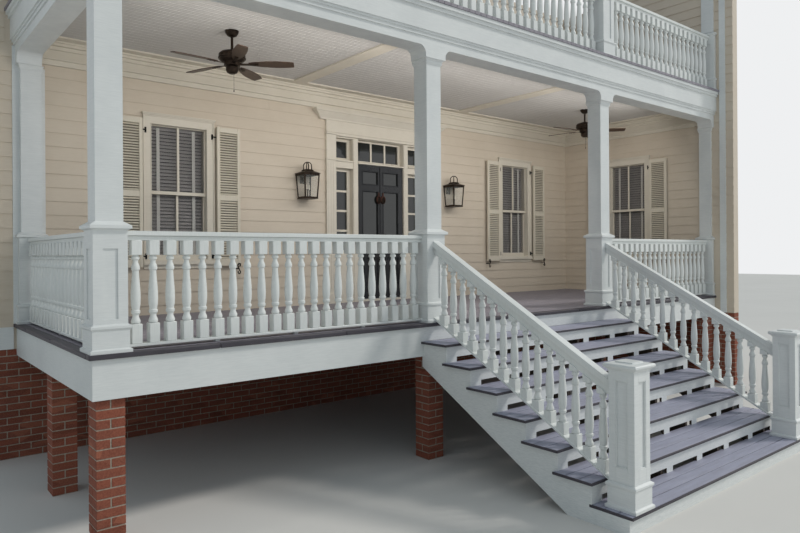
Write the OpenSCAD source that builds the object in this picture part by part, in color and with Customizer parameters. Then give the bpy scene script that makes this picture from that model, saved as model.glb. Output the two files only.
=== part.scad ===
// Front porch of a timber house: raised floor, square columns, turned balusters,
// a wide flight of steps and a railed balcony as its roof. All sizes in millimetres.

/* [Steps] */
// Rise of one step
riser_h = 185; // [150:1:200]
// Depth of one step from nosing to nosing
going = 336; // [280:1:360]
// Number of risers between the landing and the porch floor
step_count = 7; // [3:1:9]
// Height of the bottom landing above the ground
landing_h = 150; // [120:5:180]
// Thickness of treads and floor boards
board_t = 38; // [30:1:45]
// How far a nosing stands out beyond the riser
nosing = 30; // [15:1:40]
// Thickness of risers and skirt boards
riser_t = 25; // [18:1:30]
// Height of the slots at the foot of each riser
slot_h = 65; // [40:1:80]
// Width of one slot
slot_w = 435; // [250:5:450]
// Distance from one slot to the next
slot_pitch = 560; // [520:5:700]
// How far the treads run past the left rail line
tread_left = 230; // [180:5:260]
// How far the treads run past the right rail line
tread_right = 50; // [45:5:200]
// Depth of the stair stringers below the nosing line
stringer_drop = 480; // [430:5:520]

/* [Plan] */
// Corner column to left stair column
side_bay = 3270; // [2600:10:3600]
// Left stair column to right stair column
stair_bay = 3145; // [2700:10:3600]
// Right stair column to the side wall
end_bay = 3085; // [2600:5:3600]
// Column line to the back wall
porch_depth = 2837; // [2500:1:3400]
// Floor edge beyond the column line
floor_over = 165; // [165:1:220]
// Thickness of the house walls
wall_t = 150; // [120:5:250]
// Length of wall kept beside the porch on the left
wing_stub = 395; // [200:5:900]
// Length of side wall kept in front of the column line
side_stub = 450; // [300:10:900]

/* [Columns] */
// Width of the column shafts
shaft_w = 200; // [150:5:230]
// Width of the pedestals
pedestal_w = 248; // [240:2:280]
// Height of the pedestals below their caps, and of the rails
rail_h = 915; // [860:5:1070]
// Clear height under the beams
beam_under = 2892; // [2500:2:3200]
// Depth of the beam drop at each column
beam_drop = 116; // [80:2:160]
// Radius of the rounded corners in the beam openings
corner_r = 85; // [40:5:90]
// Width of the recessed panels
panel_w = 106; // [80:2:130]
// Depth of the recessed panels
panel_d = 10; // [5:1:20]
// Width of the newel posts
newel_w = 226; // [200:2:240]
// Height of the newel posts below their caps
newel_h = 1087; // [950:1:1200]

/* [Rails] */
// Width of the square blocks of a baluster
baluster_w = 60; // [40:1:70]
// Distance from one baluster to the next
baluster_pitch = 135; // [110:1:150]
// Width of the handrail
handrail_w = 90; // [70:2:110]
// Thickness of the handrail
handrail_t = 38; // [30:1:50]
// Height of handrail and sub-rail together
rail_stack = 75; // [60:1:90]
// Gap below the bottom rail
rail_gap = 20; // [20:1:60]
// Height of the bottom rail
bottom_rail_h = 42; // [35:1:90]
// Handrail height of the steps above the nosing line
stair_rail_h = 831; // [760:1:900]

/* [Roof] */
// Height of the beams from soffit to balcony floor
beam_h = 447; // [400:1:600]
// Height of the outer fascia
fascia_h = 300; // [200:5:340]
// Height of the ceiling above the underside of the beams
ceiling_rise = 221; // [120:1:300]
// Width of the flat boards across the ceiling
ceiling_board_w = 200; // [120:5:260]
// Width of the flat boards along the walls of the ceiling
ceiling_border = 227; // [150:1:300]
// Balcony floor edge beyond the column line
balcony_over = 232; // [210:5:300]
// Height of house wall kept above the balcony floor
upper_wall = 2000; // [1100:50:2600]

/* [Windows and shutters] */
// Width of the sash opening
sash_w = 695; // [500:5:760]
// Height of the sash opening
sash_h = 1650; // [1200:10:1800]
// Height of the window sill above the floor
sill_h = 667; // [450:1:800]
// Middle of the left window from the corner column
window_left_x = 1650; // [1300:10:2000]
// Middle of the right window from the corner column
window_right_x = 7950; // [7700:10:8200]
// Middle of the side window from the column line
window_side_y = 1450; // [1200:10:1800]
// Width of the casing boards round a window
casing_w = 102; // [80:2:120]
// Width of one shutter
shutter_w = 320; // [280:5:360]
// Distance of the back of the shutters from the wall
shutter_out = 50; // [40:1:90]

/* [Door] */
// Middle of the door from the corner column
door_x = 4842; // [4700:1:5000]
// Clear width of the door opening
door_w = 890; // [800:10:1000]
// Clear height of the door opening
door_h = 2085; // [2000:5:2150]
// Thickness of the door leaves
leaf_t = 45; // [38:1:50]
// Width of a sidelight pane
sidelight_w = 215; // [150:5:230]
// How far each leaf is drawn open
door_open = 0; // [0:1:90]

/* [Fans and lanterns] */
// Radius of the fan over the tips of its blades
fan_r = 655; // [500:10:750]
// Place of the left fan from the corner column
fan_left_x = 1650; // [1500:10:2000]
// Place of the right fan from the corner column
fan_right_x = 7980; // [7700:10:8300]
// Place of the fans from the column line
fan_y = 1310; // [1100:10:1600]
// Drop of the fan blades below the ceiling
fan_drop = 353; // [300:1:600]
// Turn of the left fan
fan_turn_left = 38; // [0:1:72]
// Turn of the right fan
fan_turn_right = 26; // [0:1:72]
// Pitch of the fan blades
blade_pitch = 11; // [5:1:16]
// Width of a lantern at its widest
lantern_w = 245; // [220:5:320]
// Distance of each lantern from the middle of the door
lantern_x = 1420; // [1300:5:1500]
// Distance of the lantern's middle from the wall
lantern_out = 147; // [135:1:200]

/* [Hidden] */
$fn = 48;
floor_z = landing_h + step_count * riser_h;
stair_left_x = side_bay;
stair_right_x = side_bay + stair_bay;
house_x = stair_right_x + end_bay;
pilaster_out = 35;
end_column_x = house_x + shaft_w / 2 - pilaster_out;
trim_x = 165;
base_z = floor_z - 270;
beam_z = floor_z + beam_under;
drop_z = beam_z - beam_drop;
beam_out = 140;
beam_in = 100;
balcony_z = beam_z + beam_h;
balcony_top = balcony_z + 35;
wall_top = balcony_top + upper_wall;
ceiling_h = beam_under + ceiling_rise;
ceiling_z = floor_z + ceiling_h;
ceiling_board_t = 18;
cornice_h = 260;
cornice_under = ceiling_h - ceiling_board_t - cornice_h;
balcony_line = 50;
fan_h = ceiling_h - fan_drop;
stair_x0 = stair_left_x - tread_left;
stair_x1 = stair_right_x + tread_right;
landing_x1 = stair_right_x + 190;
front_y = -floor_over - step_count * going;
newel_y = front_y + 145;
slope = riser_h / going;
mid_y = (front_y + porch_depth + wall_t) / 2;
low_x = -trim_x - wing_stub;
mid_x = (low_x + house_x + wall_t) / 2;
skirt_y = -floor_over + nosing;
rim_edge = -skirt_y - riser_t;
rim_t = 45;
joist_count = 15;
pier_half = 105;
jamb = 30;
lantern_z = 1510;
lantern_h = 330;
lantern_bar = 8;
// Clearance that keeps the lantern panes off the bars; they stand on the tray and reach the roof
pane_clear = 0.1;
lantern_plate_w = 90;
lantern_plate_h = 125;
sill_out = 58;
casing_t = 30;
shutter_t = 34;
shutter_gap = 18;
sash_edge = 12;
glass_t = 6;
leaf_w = door_w / 2 - 7.5;
leaf_y = 20 + leaf_t;
surround_half = 930;
surround_t = 130;
crown_gap = 20;
crown_out = 130;
crown_flare = 105;
head_room = cornice_under - crown_gap - door_h;
crown_h = head_room * 0.19;
frieze_h = head_room * 0.26;
frieze_top = cornice_under - crown_gap - crown_h;
surround_top = frieze_top - frieze_h;
sidelight_x = 703;
surround_recess = 85;
turned_reach = 500;
cap_h = 66;
pin_side = 1;
pin_back = 12;
hinge_heights = [300, 1120, 1900];
white = "#e9ebe8";
cream = "#c9bda6";
deck_grey = "#8b8f9a";
brick_red = "#8a5546";
dark = "#24262a";
bronze = "#3a322c";

// Moves the porch so that the middle of its footprint is at the origin
module placed() {
    translate([-mid_x, -mid_y, 0]) children();
}

// Box between two opposite corners
module box(low, high) {
    translate(low) cube(high - low);
}

// Upright body of square plan with the given half widths and heights
module square_turned(steps) {
    outline = concat(steps, [for (i = [len(steps) - 1:-1:0]) [-steps[i][0], steps[i][1]]]);
    intersection() {
        translate([0, turned_reach, 0]) rotate([90, 0, 0])
            linear_extrude(2 * turned_reach) polygon(outline);
        translate([-turned_reach, 0, 0]) rotate([90, 0, 90])
            linear_extrude(2 * turned_reach) polygon(outline);
    }
}

// Recessed panels on the four faces of a post
module panel_cuts(half, low, high, wide) {
    for (a = [0:90:270]) rotate([0, 0, a])
        translate([-wide / 2, -half - 1, low]) cube([wide, panel_d + 1, high - low]);
}

// Foot, plinth and body shared by pedestals, newels and balcony posts
function post_body(half, tall) = [
    [half + 26, 0], [half + 26, 24], [half + 10, 34], [half + 10, 168], [half + 22, 184],
    [half + 22, 200], [half, 214], [half, tall]];

// Cap of pedestals and balcony posts, sloping back to the given half width
function post_cap(half, tall, top) = [
    [half + 26, tall + 12], [half + 26, tall + 34], [top, tall + cap_h]];

// Thick rounded slab with a raised plate in its middle
function newel_cap(half, tall) = [
    [half + 6, tall + 6], [half + 12, tall + 16], [half + 28, tall + 24], [half + 34, tall + 34],
    [half + 34, tall + 46], [half + 26, tall + 56], [half - 36, tall + 62], [half - 36, tall + 72]];

module pedestal(half, tall, cap) {
    difference() {
        square_turned(concat(post_body(half, tall), cap));
        panel_cuts(half, 250, tall - 138, panel_w);
    }
}

// Porch column standing on the floor and reaching the beam
module column() {
    top = drop_z - floor_z;
    half = shaft_w / 2;
    translate([0, 0, floor_z]) pedestal(pedestal_w / 2, rail_h,
        concat(post_cap(pedestal_w / 2, rail_h, half),
        [[half, top - 64], [half + 12, top - 40], [half + 12, top - 22], [half + 24, top]]));
}

module newel() {
    translate([0, newel_y, landing_h])
        pedestal(newel_w / 2, newel_h, newel_cap(newel_w / 2, newel_h));
}

// Radii of the turned part of a baluster, from its lower to its upper block
turned = [[24, 0], [20, 14], [29, 50], [29, 58], [21, 64], [29, 72], [29, 84], [20, 91], [21, 108],
    [27, 160], [30, 205], [29, 260], [25, 320], [19, 378], [19, 402], [29, 408], [29, 420],
    [20, 454], [20, 466], [29, 474], [29, 488], [21, 496], [24, 514]];
turned_h = 514;

// Turned baluster with square blocks at both ends; squeeze shortens the turned part
module baluster(low, high, foot, squeeze) {
    start = low + foot;
    tall = turned_h * squeeze;
    half = baluster_w / 2;
    box([-half, -half, low], [half, half, start]);
    box([-half, -half, start + tall], [half, half, high]);
    translate([0, 0, start - 1]) rotate_extrude($fn = 32) polygon(concat([[0, 0], [24, 0]],
        [for (p = turned) [p[0], 1 + p[1] * squeeze]], [[24, tall + 2], [0, tall + 2]]));
}

// Level balustrade along x between two faces, with its feet on the given height
module level_rail(length) {
    top = rail_h;
    low = rail_gap + bottom_rail_h;
    count = floor(length / baluster_pitch);
    first = (length - (count - 1) * baluster_pitch) / 2;
    box([-60, -handrail_w / 2, top - handrail_t], [length + 60, handrail_w / 2, top]);
    box([-60, -25, top - rail_stack], [length + 60, 25, top - handrail_t]);
    box([-60, -32, rail_gap], [length + 60, 32, low]);
    for (i = [0:count - 1]) translate([first + i * baluster_pitch, 0, 0])
        baluster(low - 1, top - rail_stack + 1, 156, 1);
    for (f = [0.25, 0.5, 0.75]) box([length * f - 22, -22, 0], [length * f + 22, 22, rail_gap + 1]);
}

// Long plate along the slope of the steps, between two heights above the nosing line
module raked_bar(y0, y1, low, high, wide) {
    translate([-wide / 2, 0, 0]) rotate([90, 0, 90]) linear_extrude(wide)
        polygon([for (p = [[y0, low], [y1, low], [y1, high], [y0, high]])
            [p[0], floor_z + (p[0] + floor_over) * slope + p[1]]]);
}

module stair_rail() {
    y0 = newel_y;
    y1 = 0;
    gap = -newel_y - newel_w / 2 - pedestal_w / 2;
    count = floor(gap / baluster_pitch);
    first = -pedestal_w / 2 - (gap - (count - 1) * baluster_pitch) / 2;
    difference() {
        union() {
            raked_bar(y0, y1, stair_rail_h - 66, stair_rail_h, handrail_w);
            raked_bar(y0, y1, stair_rail_h - 138, stair_rail_h - 66, 50);
            raked_bar(y0, y1, 10, 72, 64);
            for (i = [0:count - 1]) {
                y = first - i * baluster_pitch;
                z = floor_z + (y + floor_over) * slope;
                translate([0, y, 0]) baluster(z + 50, z + stair_rail_h - 90, 142, 0.76);
            }
        }
        newel();
        column();
    }
}

// Opening under a beam with two rounded upper corners, drawn in the plane of the beam
module beam_opening(wide, tall) {
    square([wide, tall - corner_r]);
    translate([corner_r, 0]) square([wide - 2 * corner_r, tall]);
    for (x = [corner_r, wide - corner_r]) translate([x, tall - corner_r]) circle(corner_r);
}

// Band along the back wall and the side wall of the room, standing out by the given amount
module cornice_band(low, high, out) {
    inner = beam_in;
    translate([0, 0, low]) linear_extrude(high - low) polygon([[inner, porch_depth - out],
        [house_x - out, porch_depth - out], [house_x - out, inner], [house_x, inner],
        [house_x, porch_depth], [inner, porch_depth]]);
}

// Plate over the porch from the back wall to the given distance in front of the columns
module roof_plate(edge, low, high) {
    box([-edge, -edge, low], [house_x, porch_depth, high]);
}

// Band along the outer faces of the two beams
module beam_band(outer, low, high) {
    inner = beam_out;
    translate([0, 0, low]) linear_extrude(high - low) polygon([[-outer, -outer], [house_x, -outer],
        [house_x, -inner], [-inner, -inner], [-inner, porch_depth], [-outer, porch_depth]]);
}

// Places what is drawn with x along the wall, y into the wall and z above the floor
module on_back_wall(x) {
    translate([x, porch_depth, floor_z]) children();
}

module on_side_wall(y) {
    translate([house_x, y, floor_z]) rotate([0, 0, -90]) children();
}

module at_windows() {
    on_back_wall(window_left_x) children();
    on_back_wall(window_right_x) children();
    on_side_wall(window_side_y) children();
}

module window_hole() {
    box([-sash_w / 2 - jamb, -60, sill_h - jamb], [sash_w / 2 + jamb, wall_t + 60, sill_h + sash_h + jamb]);
}

// Two panes, the lower one further in than the upper one
module panes(y_upper, y_lower, deep) {
    half = sash_w / 2 - sash_edge;
    middle = sill_h + sash_h / 2;
    box([-half, y_upper, middle + 20], [half, y_upper + deep, sill_h + sash_h - sash_edge]);
    box([-half, y_lower, sill_h + 60], [half, y_lower + deep, middle - 20]);
}

module window_frame() {
    half = sash_w / 2;
    outer = half + casing_w;
    top = sill_h + sash_h;
    difference() {
        union() {
            box([-half - jamb, 0, sill_h - jamb], [half + jamb, wall_t, top + jamb]);
            box([-outer, -casing_t, sill_h - 10], [outer, 0, top + 134]);
            box([-outer - 8, -44, top + 112], [outer + 8, 0, top + 134]);
            box([-outer - 3, -sill_out, sill_h - 60], [outer + 3, 0, sill_h - 10]);
            box([-outer + 5, -26, sill_h - 108], [outer - 5, 0, sill_h - 60]);
        }
        box([-half, -40, sill_h], [half, 25, top]);
        box([-half, 105, sill_h], [half, wall_t + 1, top]);
        box([-half, 20, sill_h], [half, 65, sill_h + sash_h / 2 - 20]);
        box([-half, 65, sill_h + sash_h / 2 + 20], [half, 110, top]);
        panes(20, 60, 50);
    }
}

// Shutter hung clear of the wall on two pintles that are screwed to the casing
module shutter() {
    low = sill_h - 86;
    high = sill_h + sash_h + 48;
    middle = (low + high) / 2 + 25;
    front = -shutter_out - shutter_t;
    stile = 42;
    difference() {
        box([0, front, low], [shutter_w, -shutter_out, high]);
        box([stile, front - 1, low + 75], [shutter_w - stile, front + 10, middle - 48]);
        box([stile, front - 1, middle + 48], [shutter_w - stile, front + 10, high - 75]);
    }
    for (z = [low + 130, high - 130]) {
        box([-shutter_gap - 62, -casing_t - 10, z - 34], [-shutter_gap - 26, -casing_t, z + 34]);
        box([-shutter_gap - 62, -shutter_out - 8, z - 9], [40, -casing_t - 6, z + 9]);
    }
}

// Turned knob with its round plate and a ring knocker above it
module knob() {
    translate([0, 0, 1000]) rotate([90, 0, 0]) rotate_extrude($fn = 32)
        polygon([[0, 0], [30, 0], [30, 5], [12, 9], [10, 34], [24, 44], [27, 54], [22, 64], [0, 68]]);
    translate([0, 0, 1560]) rotate([90, 0, 0]) rotate_extrude($fn = 32)
        polygon([[0, 0], [36, 0], [36, 8], [20, 16], [0, 18]]);
    translate([0, -17, 1540]) rotate([90, 0, 0]) rotate_extrude($fn = 32)
        translate([30, 0]) circle(7, $fn = 16);
}

// One door leaf with its hinge edge at x = 0 and its inner face at y = 0
module leaf_panes(low, high) {
    box([96, low, 1788], [leaf_w - 52, high, 1983]);
    box([96, low, 760], [leaf_w - 52, high, 1679]);
}

module door_leaf() {
    for (z = hinge_heights) {
        translate([pin_side, pin_back, z]) cylinder(h = 45, r = 6);
        box([pin_side, -1, z], [pin_side + 6, pin_back, z + 45]);
    }
    difference() {
        box([0, -leaf_t, 36], [leaf_w, 0, door_h - 6]);
        leaf_panes(-leaf_t - 1, 1);
        box([96, -leaf_t - 1, 250], [leaf_w - 52, -leaf_t + 10, 660]);
        box([96, -10, 250], [leaf_w - 52, 1, 660]);
    }
}

// Places a leaf drawn from its hinge; side is -1 for the left leaf and 1 for the right leaf
module at_hinge(side) {
    on_back_wall(door_x) translate([side * (door_w / 2 - 5 - pin_side), leaf_y + pin_back, 0])
        rotate([0, 0, -side * door_open]) mirror([side > 0 ? 1 : 0, 0, 0])
        translate([-pin_side, -pin_back, 0]) children();
}

// Fixed knuckles on the jambs, each under a knuckle of its leaf
module jamb_hinges() {
    for (side = [0, 1], z = hinge_heights) mirror([side, 0, 0]) {
        translate([5 + pin_side - door_w / 2, leaf_y + pin_back, z - 45]) cylinder(h = 45, r = 6);
        box([-door_w / 2 - 1, leaf_y + pin_back - 3, z - 45],
            [5 + pin_side - door_w / 2, leaf_y + pin_back + 3, z]);
    }
}

// Panes of the door surround: sidelights, their transoms and the light over the door
module surround_panes(low, high) {
    for (s = [-1, 1]) {
        x = s * sidelight_x;
        box([x - sidelight_w / 2, low, 780], [x + sidelight_w / 2, high, door_h - 131]);
        box([x - sidelight_w / 2, low, door_h + 75], [x + sidelight_w / 2, high, surround_top - 85]);
    }
    box([-door_w / 2 + 52, low, door_h + 57], [door_w / 2 - 52, high, surround_top - 60]);
}

// Recesses that set the glazed lights back from the face of the surround
module surround_recesses() {
    side = sidelight_w / 2 + 57;
    for (s = [-1, 1]) {
        x = s * sidelight_x;
        box([x - side, -60, 720], [x + side, surround_recess, door_h - 85]);
        box([x - side, -60, door_h + 29], [x + side, surround_recess, surround_top - 43]);
    }
    box([-door_w / 2, -60, door_h + 20], [door_w / 2, surround_recess, surround_top - 30]);
}

module lantern_at() {
    for (s = [-1, 1]) on_back_wall(door_x + s * lantern_x)
        translate([0, -lantern_out, lantern_z]) children();
}

// Tapering tube with the given half widths, wall thickness and height
module square_tube(half_low, half_high, wall, tall) {
    lean = (half_high - half_low) / tall;
    difference() {
        square_turned([[half_low, 0], [half_high, tall]]);
        square_turned([[half_low - wall - lean, -1], [half_high - wall + lean, tall + 1]]);
    }
}

// Half ring of square section on two straight legs
module hoop(radius, leg, thick) {
    translate([0, 0, -thick / 2]) linear_extrude(thick) {
        translate([0, leg]) difference() {
            circle(radius);
            circle(radius - thick);
            translate([-radius, -2 * radius]) square(2 * radius);
        }
        for (x = [-radius, radius - thick]) translate([x, 0]) square([thick, leg + 1]);
    }
}

// Four slanting corner bars between a narrow foot and a wide top
module lantern_cage(half_low, half_high, tall) {
    difference() {
        square_tube(half_low, half_high, lantern_bar, tall);
        for (a = [0, 90]) rotate([0, 0, a]) translate([0, 400, 0]) rotate([90, 0, 0])
            linear_extrude(800) polygon([[-half_low + 16, 16], [half_low - 16, 16],
                [half_high - 18, tall - 16], [-half_high + 18, tall - 16]]);
    }
}

// Half widths of a fan blade at shares of its length, from its root to its squared tip
blade_widths = [[0, 24], [0.1, 38], [0.25, 52], [0.42, 63], [0.6, 68], [0.78, 65], [0.92, 57],
    [0.99, 50], [1, 44]];
blade_root = 175;

module fan_blade_plan() {
    edge = [for (p = blade_widths) [blade_root + p[0] * (fan_r - blade_root), p[1]]];
    polygon(concat(edge, [for (i = [len(edge) - 1:-1:0]) [edge[i][0], -edge[i][1]]]));
}

module at_fan(x) {
    translate([x, fan_y, floor_z]) children();
}

module each_blade(turn) {
    for (a = [0:72:288]) rotate([0, 0, a + turn]) translate([0, 0, fan_h])
        rotate([-blade_pitch, 0, 0]) children();
}

// Turning motor housing with its irons; the ring under it runs round the fixed stem
module fan_rotor(turn) {
    low = fan_h + 17;
    translate([0, 0, low]) rotate_extrude($fn = 64) polygon([[24, 0], [95, 0], [132, 22], [140, 50],
        [140, 84], [120, 104], [60, 122], [24, 122]]);
    each_blade(turn) box([74, -20, -6], [280, 20, 0]);
    difference() {
        translate([0, 0, fan_h - 23]) cylinder(h = 42, r = 84);
        translate([0, 0, fan_h - 28]) cylinder(h = 60, r = 24);
    }
}

// Canopy, down rod and the bowl under the turning housing
module fan_mount() {
    top = ceiling_h;
    translate([0, 0, top]) mirror([0, 0, 1]) rotate_extrude($fn = 48)
        polygon([[0, 0], [72, 0], [70, 20], [50, 52], [22, 66], [0, 66]]);
    translate([0, 0, fan_h - 78]) cylinder(h = top - 30 - fan_h + 78, r = 14, $fn = 32);
    translate([0, 0, fan_h - 106]) rotate_extrude($fn = 48) polygon([[0, 0], [28, 0], [54, 14],
        [66, 40], [66, 70], [56, 77], [36, 77], [36, 83], [0, 83]]);
}

// Pieces of the house and the porch

module brick_foundation() {
    color(brick_red) placed() {
        linear_extrude(base_z) polygon([[low_x, porch_depth], [house_x, porch_depth],
            [house_x, -side_stub], [house_x + wall_t, -side_stub],
            [house_x + wall_t, porch_depth + wall_t], [low_x, porch_depth + wall_t]]);
        for (x = [0, stair_left_x, stair_right_x, house_x - 130])
            box([x - pier_half, -pier_half, 0], [x + pier_half, pier_half, base_z]);
        box([-pier_half, porch_depth / 2 - pier_half, 0],
            [pier_half, porch_depth / 2 + pier_half, base_z]);
    }
}

// Ring of boards round the floor, behind the skirt boards
module floor_rim() {
    edge = rim_edge;
    color("#9b8f7e") placed() difference() {
        box([-edge, -edge, base_z], [house_x, porch_depth, floor_z - board_t]);
        box([-edge + rim_t, -edge + rim_t, base_z - 1],
            [house_x - rim_t, porch_depth - rim_t, floor_z]);
    }
}

// Joists from the front to the back of the ring
module floor_joists() {
    first = -rim_edge + rim_t;
    clear = (house_x - rim_t - first - joist_count * rim_t) / (joist_count + 1);
    color("#9b8f7e") placed() for (i = [1:joist_count]) {
        x = first + i * clear + (i - 1) * rim_t;
        box([x, -rim_edge + rim_t, base_z], [x + rim_t, porch_depth - rim_t, floor_z - board_t]);
    }
}

module porch_floor() {
    color(deck_grey) placed() roof_plate(floor_over, floor_z - board_t, floor_z);
}

module skirt_boards() {
    low = floor_z - 340;
    top = floor_z - board_t;
    out = -skirt_y;
    color(white) placed() {
        difference() {
            box([-out, -out, low], [stair_x0 + 40, -out + riser_t, top]);
            box([-out + riser_t, -out + riser_t, low - 1], [0, 1, top + 1]);
        }
        box([-out, -out + riser_t - 1, low], [-out + riser_t, porch_depth, top]);
        box([stair_x1 - 40, -out, low], [house_x, -out + riser_t, top]);
    }
}

module stair_stringers() {
    back = nosing + riser_t;
    steps = [for (k = [step_count:-1:1]) for (p = [0, 1])
        [-floor_over - (k - p) * going + back, floor_z - k * riser_h - board_t]];
    y_top = skirt_y + riser_t;
    z_top = floor_z + (y_top + floor_over) * slope - stringer_drop;
    y_foot = y_top - z_top / slope;
    outline = concat([[front_y + back, 0]], steps, [[y_top, z_top], [y_foot, 0]]);
    color(white) placed() for (x = [stair_x0 + 40, stair_x0 + 40 + (stair_x1 - stair_x0 - 120) / 3,
        stair_x0 + 40 + (stair_x1 - stair_x0 - 120) * 2 / 3, stair_x1 - 80])
        translate([x, 0, 0]) rotate([90, 0, 90]) linear_extrude(40) polygon(outline);
    color(white) placed() box([landing_x1 - 80, front_y + back, 0],
        [landing_x1 - 40, front_y + going + back, landing_h - board_t]);
}

// Riser boards with a row of slots along their foot; the lowest one has no slots
module stair_risers() {
    low_x0 = stair_x0 + 40;
    count = floor((stair_x1 - stair_x0 - 200) / slot_pitch);
    first = (stair_x0 + stair_x1 - count * slot_pitch + slot_pitch - slot_w) / 2;
    color(white) placed() {
        for (k = [0:step_count - 1]) {
            y = -floor_over - k * going + nosing;
            z = floor_z - (k + 1) * riser_h;
            difference() {
                box([low_x0, y, z], [stair_x1 - 40, y + riser_t, z + riser_h - board_t]);
                for (i = [0:count - 1])
                    box([first + i * slot_pitch, y - 1, z - 1],
                        [first + i * slot_pitch + slot_w, y + riser_t + 1, z + slot_h]);
            }
        }
        box([low_x0, front_y + nosing, 0],
            [landing_x1 - 40, front_y + nosing + riser_t, landing_h - board_t]);
    }
}

module stair_treads() {
    color(deck_grey) placed() for (k = [1:step_count]) {
        y = -floor_over - k * going;
        z = floor_z - k * riser_h;
        x0 = k == step_count ? stair_x0 + 40 : stair_x0;
        x1 = k == step_count ? landing_x1 : stair_x1;
        deep = going + nosing + (k == 1 ? 0 : riser_t);
        box([x0, y, z - board_t], [x1, y + deep, z]);
    }
}

module newel_posts() {
    color(white) placed() for (x = [stair_left_x, stair_right_x]) translate([x, 0, 0]) newel();
}

module stair_rails() {
    color(white) placed() for (x = [stair_left_x, stair_right_x])
        translate([x, 0, 0]) stair_rail();
}

// Columns along the front, against the side wall and half a column against the back wall
module porch_columns() {
    color(white) placed() {
        for (x = [0, stair_left_x, stair_right_x]) translate([x, 0, 0]) column();
        difference() {
            translate([end_column_x, 0, 0]) column();
            box([house_x, -200, 0], [house_x + 400, 200, wall_top]);
        }
        difference() {
            translate([0, porch_depth, 0]) column();
            box([-200, porch_depth, 0], [200, porch_depth + 200, wall_top]);
        }
    }
}

module porch_balustrades() {
    gap = pedestal_w / 2;
    color(white) placed() {
        difference() {
            translate([gap, 0, floor_z]) level_rail(side_bay - pedestal_w);
            column();
            translate([stair_left_x, 0, 0]) column();
        }
        difference() {
            translate([stair_right_x + gap, 0, floor_z])
                level_rail(end_column_x - stair_right_x - pedestal_w);
            translate([stair_right_x, 0, 0]) column();
            translate([end_column_x, 0, 0]) column();
        }
        difference() {
            translate([0, gap, floor_z]) rotate([0, 0, 90]) level_rail(porch_depth - pedestal_w);
            column();
            translate([0, porch_depth, 0]) column();
        }
    }
}

module front_beam() {
    color(white) placed() difference() {
        box([-beam_out, -beam_out, drop_z], [house_x, beam_in, balcony_z]);
        for (ends = [[0, stair_left_x], [stair_left_x, stair_right_x], [stair_right_x, end_column_x]])
            translate([ends[0] + beam_out, 200, drop_z - 200]) rotate([90, 0, 0])
                linear_extrude(400) beam_opening(ends[1] - ends[0] - 2 * beam_out, beam_drop + 200);
    }
}

module side_beam() {
    color(white) placed() difference() {
        box([-beam_out, beam_in, drop_z], [beam_in, porch_depth, balcony_z]);
        translate([-200, beam_out, drop_z - 200]) rotate([90, 0, 90])
            linear_extrude(400) beam_opening(porch_depth - 2 * beam_out, beam_drop + 200);
    }
}

module balcony_fascia() {
    half = beam_out;
    low = balcony_z - fascia_h;
    color(white) placed() {
        beam_band(half + 40, low, balcony_z);
        beam_band(half + 60, balcony_z - 77, balcony_z);
        beam_band(half + 80, balcony_z - 39, balcony_z);
        beam_band(half + 26, low - 24, low);
        beam_band(half + 14, low - 56, low - 24);
    }
}

module porch_ceiling() {
    inner = beam_in;
    color("#b9bcb6") placed()
        box([inner, inner, ceiling_z], [house_x, porch_depth, ceiling_z + 20]);
}

// Flat boards under the ceiling: one across it at each stair column, one along each wall
module ceiling_boards() {
    inner = beam_in;
    low = ceiling_z - ceiling_board_t;
    color(cream) placed() {
        cornice_band(low, ceiling_z, ceiling_border);
        for (x = [stair_left_x, stair_right_x])
            box([x - ceiling_board_w / 2, inner, low],
                [x + ceiling_board_w / 2, porch_depth - ceiling_border + 1, ceiling_z]);
    }
}

module wall_cornice() {
    top = ceiling_z - ceiling_board_t;
    color(cream) placed() {
        cornice_band(top - cornice_h, top, 28);
        cornice_band(top - 202, top - 180, 60);
        cornice_band(top - 90, top, 50);
        cornice_band(top - 50, top, 84);
        cornice_band(top - 20, top, 104);
    }
}

module balcony_floor() {
    color(deck_grey) placed() roof_plate(balcony_over, balcony_z, balcony_top);
}

module balcony_post() {
    half = pedestal_w / 2;
    pedestal(half, rail_h, post_cap(half, rail_h, half - 40));
}

module balcony_posts() {
    line = balcony_line;
    color(white) placed() translate([0, 0, balcony_top]) {
        for (x = [-line, stair_left_x, stair_right_x]) translate([x, -line, 0]) balcony_post();
        difference() {
            translate([end_column_x, -line, 0]) balcony_post();
            box([house_x, -line - 200, -1], [house_x + 400, 200, 1200]);
        }
        difference() {
            translate([-line, porch_depth, 0]) balcony_post();
            box([-line - 200, porch_depth, -1], [200, porch_depth + 200, 1200]);
        }
    }
}

module balcony_balustrades() {
    gap = pedestal_w / 2;
    line = balcony_line;
    spots = [-line, stair_left_x, stair_right_x, end_column_x];
    color(white) placed() translate([0, 0, balcony_top]) {
        for (i = [0:2]) translate([0, -line, 0]) difference() {
            translate([spots[i] + gap, 0, 0]) level_rail(spots[i + 1] - spots[i] - pedestal_w);
            translate([spots[i], 0, 0]) balcony_post();
            translate([spots[i + 1], 0, 0]) balcony_post();
        }
        translate([-line, 0, 0]) difference() {
            translate([0, gap - line, 0]) rotate([0, 0, 90])
                level_rail(porch_depth + line - pedestal_w);
            translate([0, -line, 0]) balcony_post();
            translate([0, porch_depth, 0]) balcony_post();
        }
    }
}

module back_wall_left() {
    color(cream) placed() difference() {
        box([-beam_out, porch_depth, base_z],
            [door_x - surround_half, porch_depth + wall_t, wall_top]);
        on_back_wall(window_left_x) window_hole();
    }
}

module back_wall_right() {
    color(cream) placed() difference() {
        box([door_x + surround_half, porch_depth, base_z],
            [house_x, porch_depth + wall_t, wall_top]);
        on_back_wall(window_right_x) window_hole();
    }
}

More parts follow.
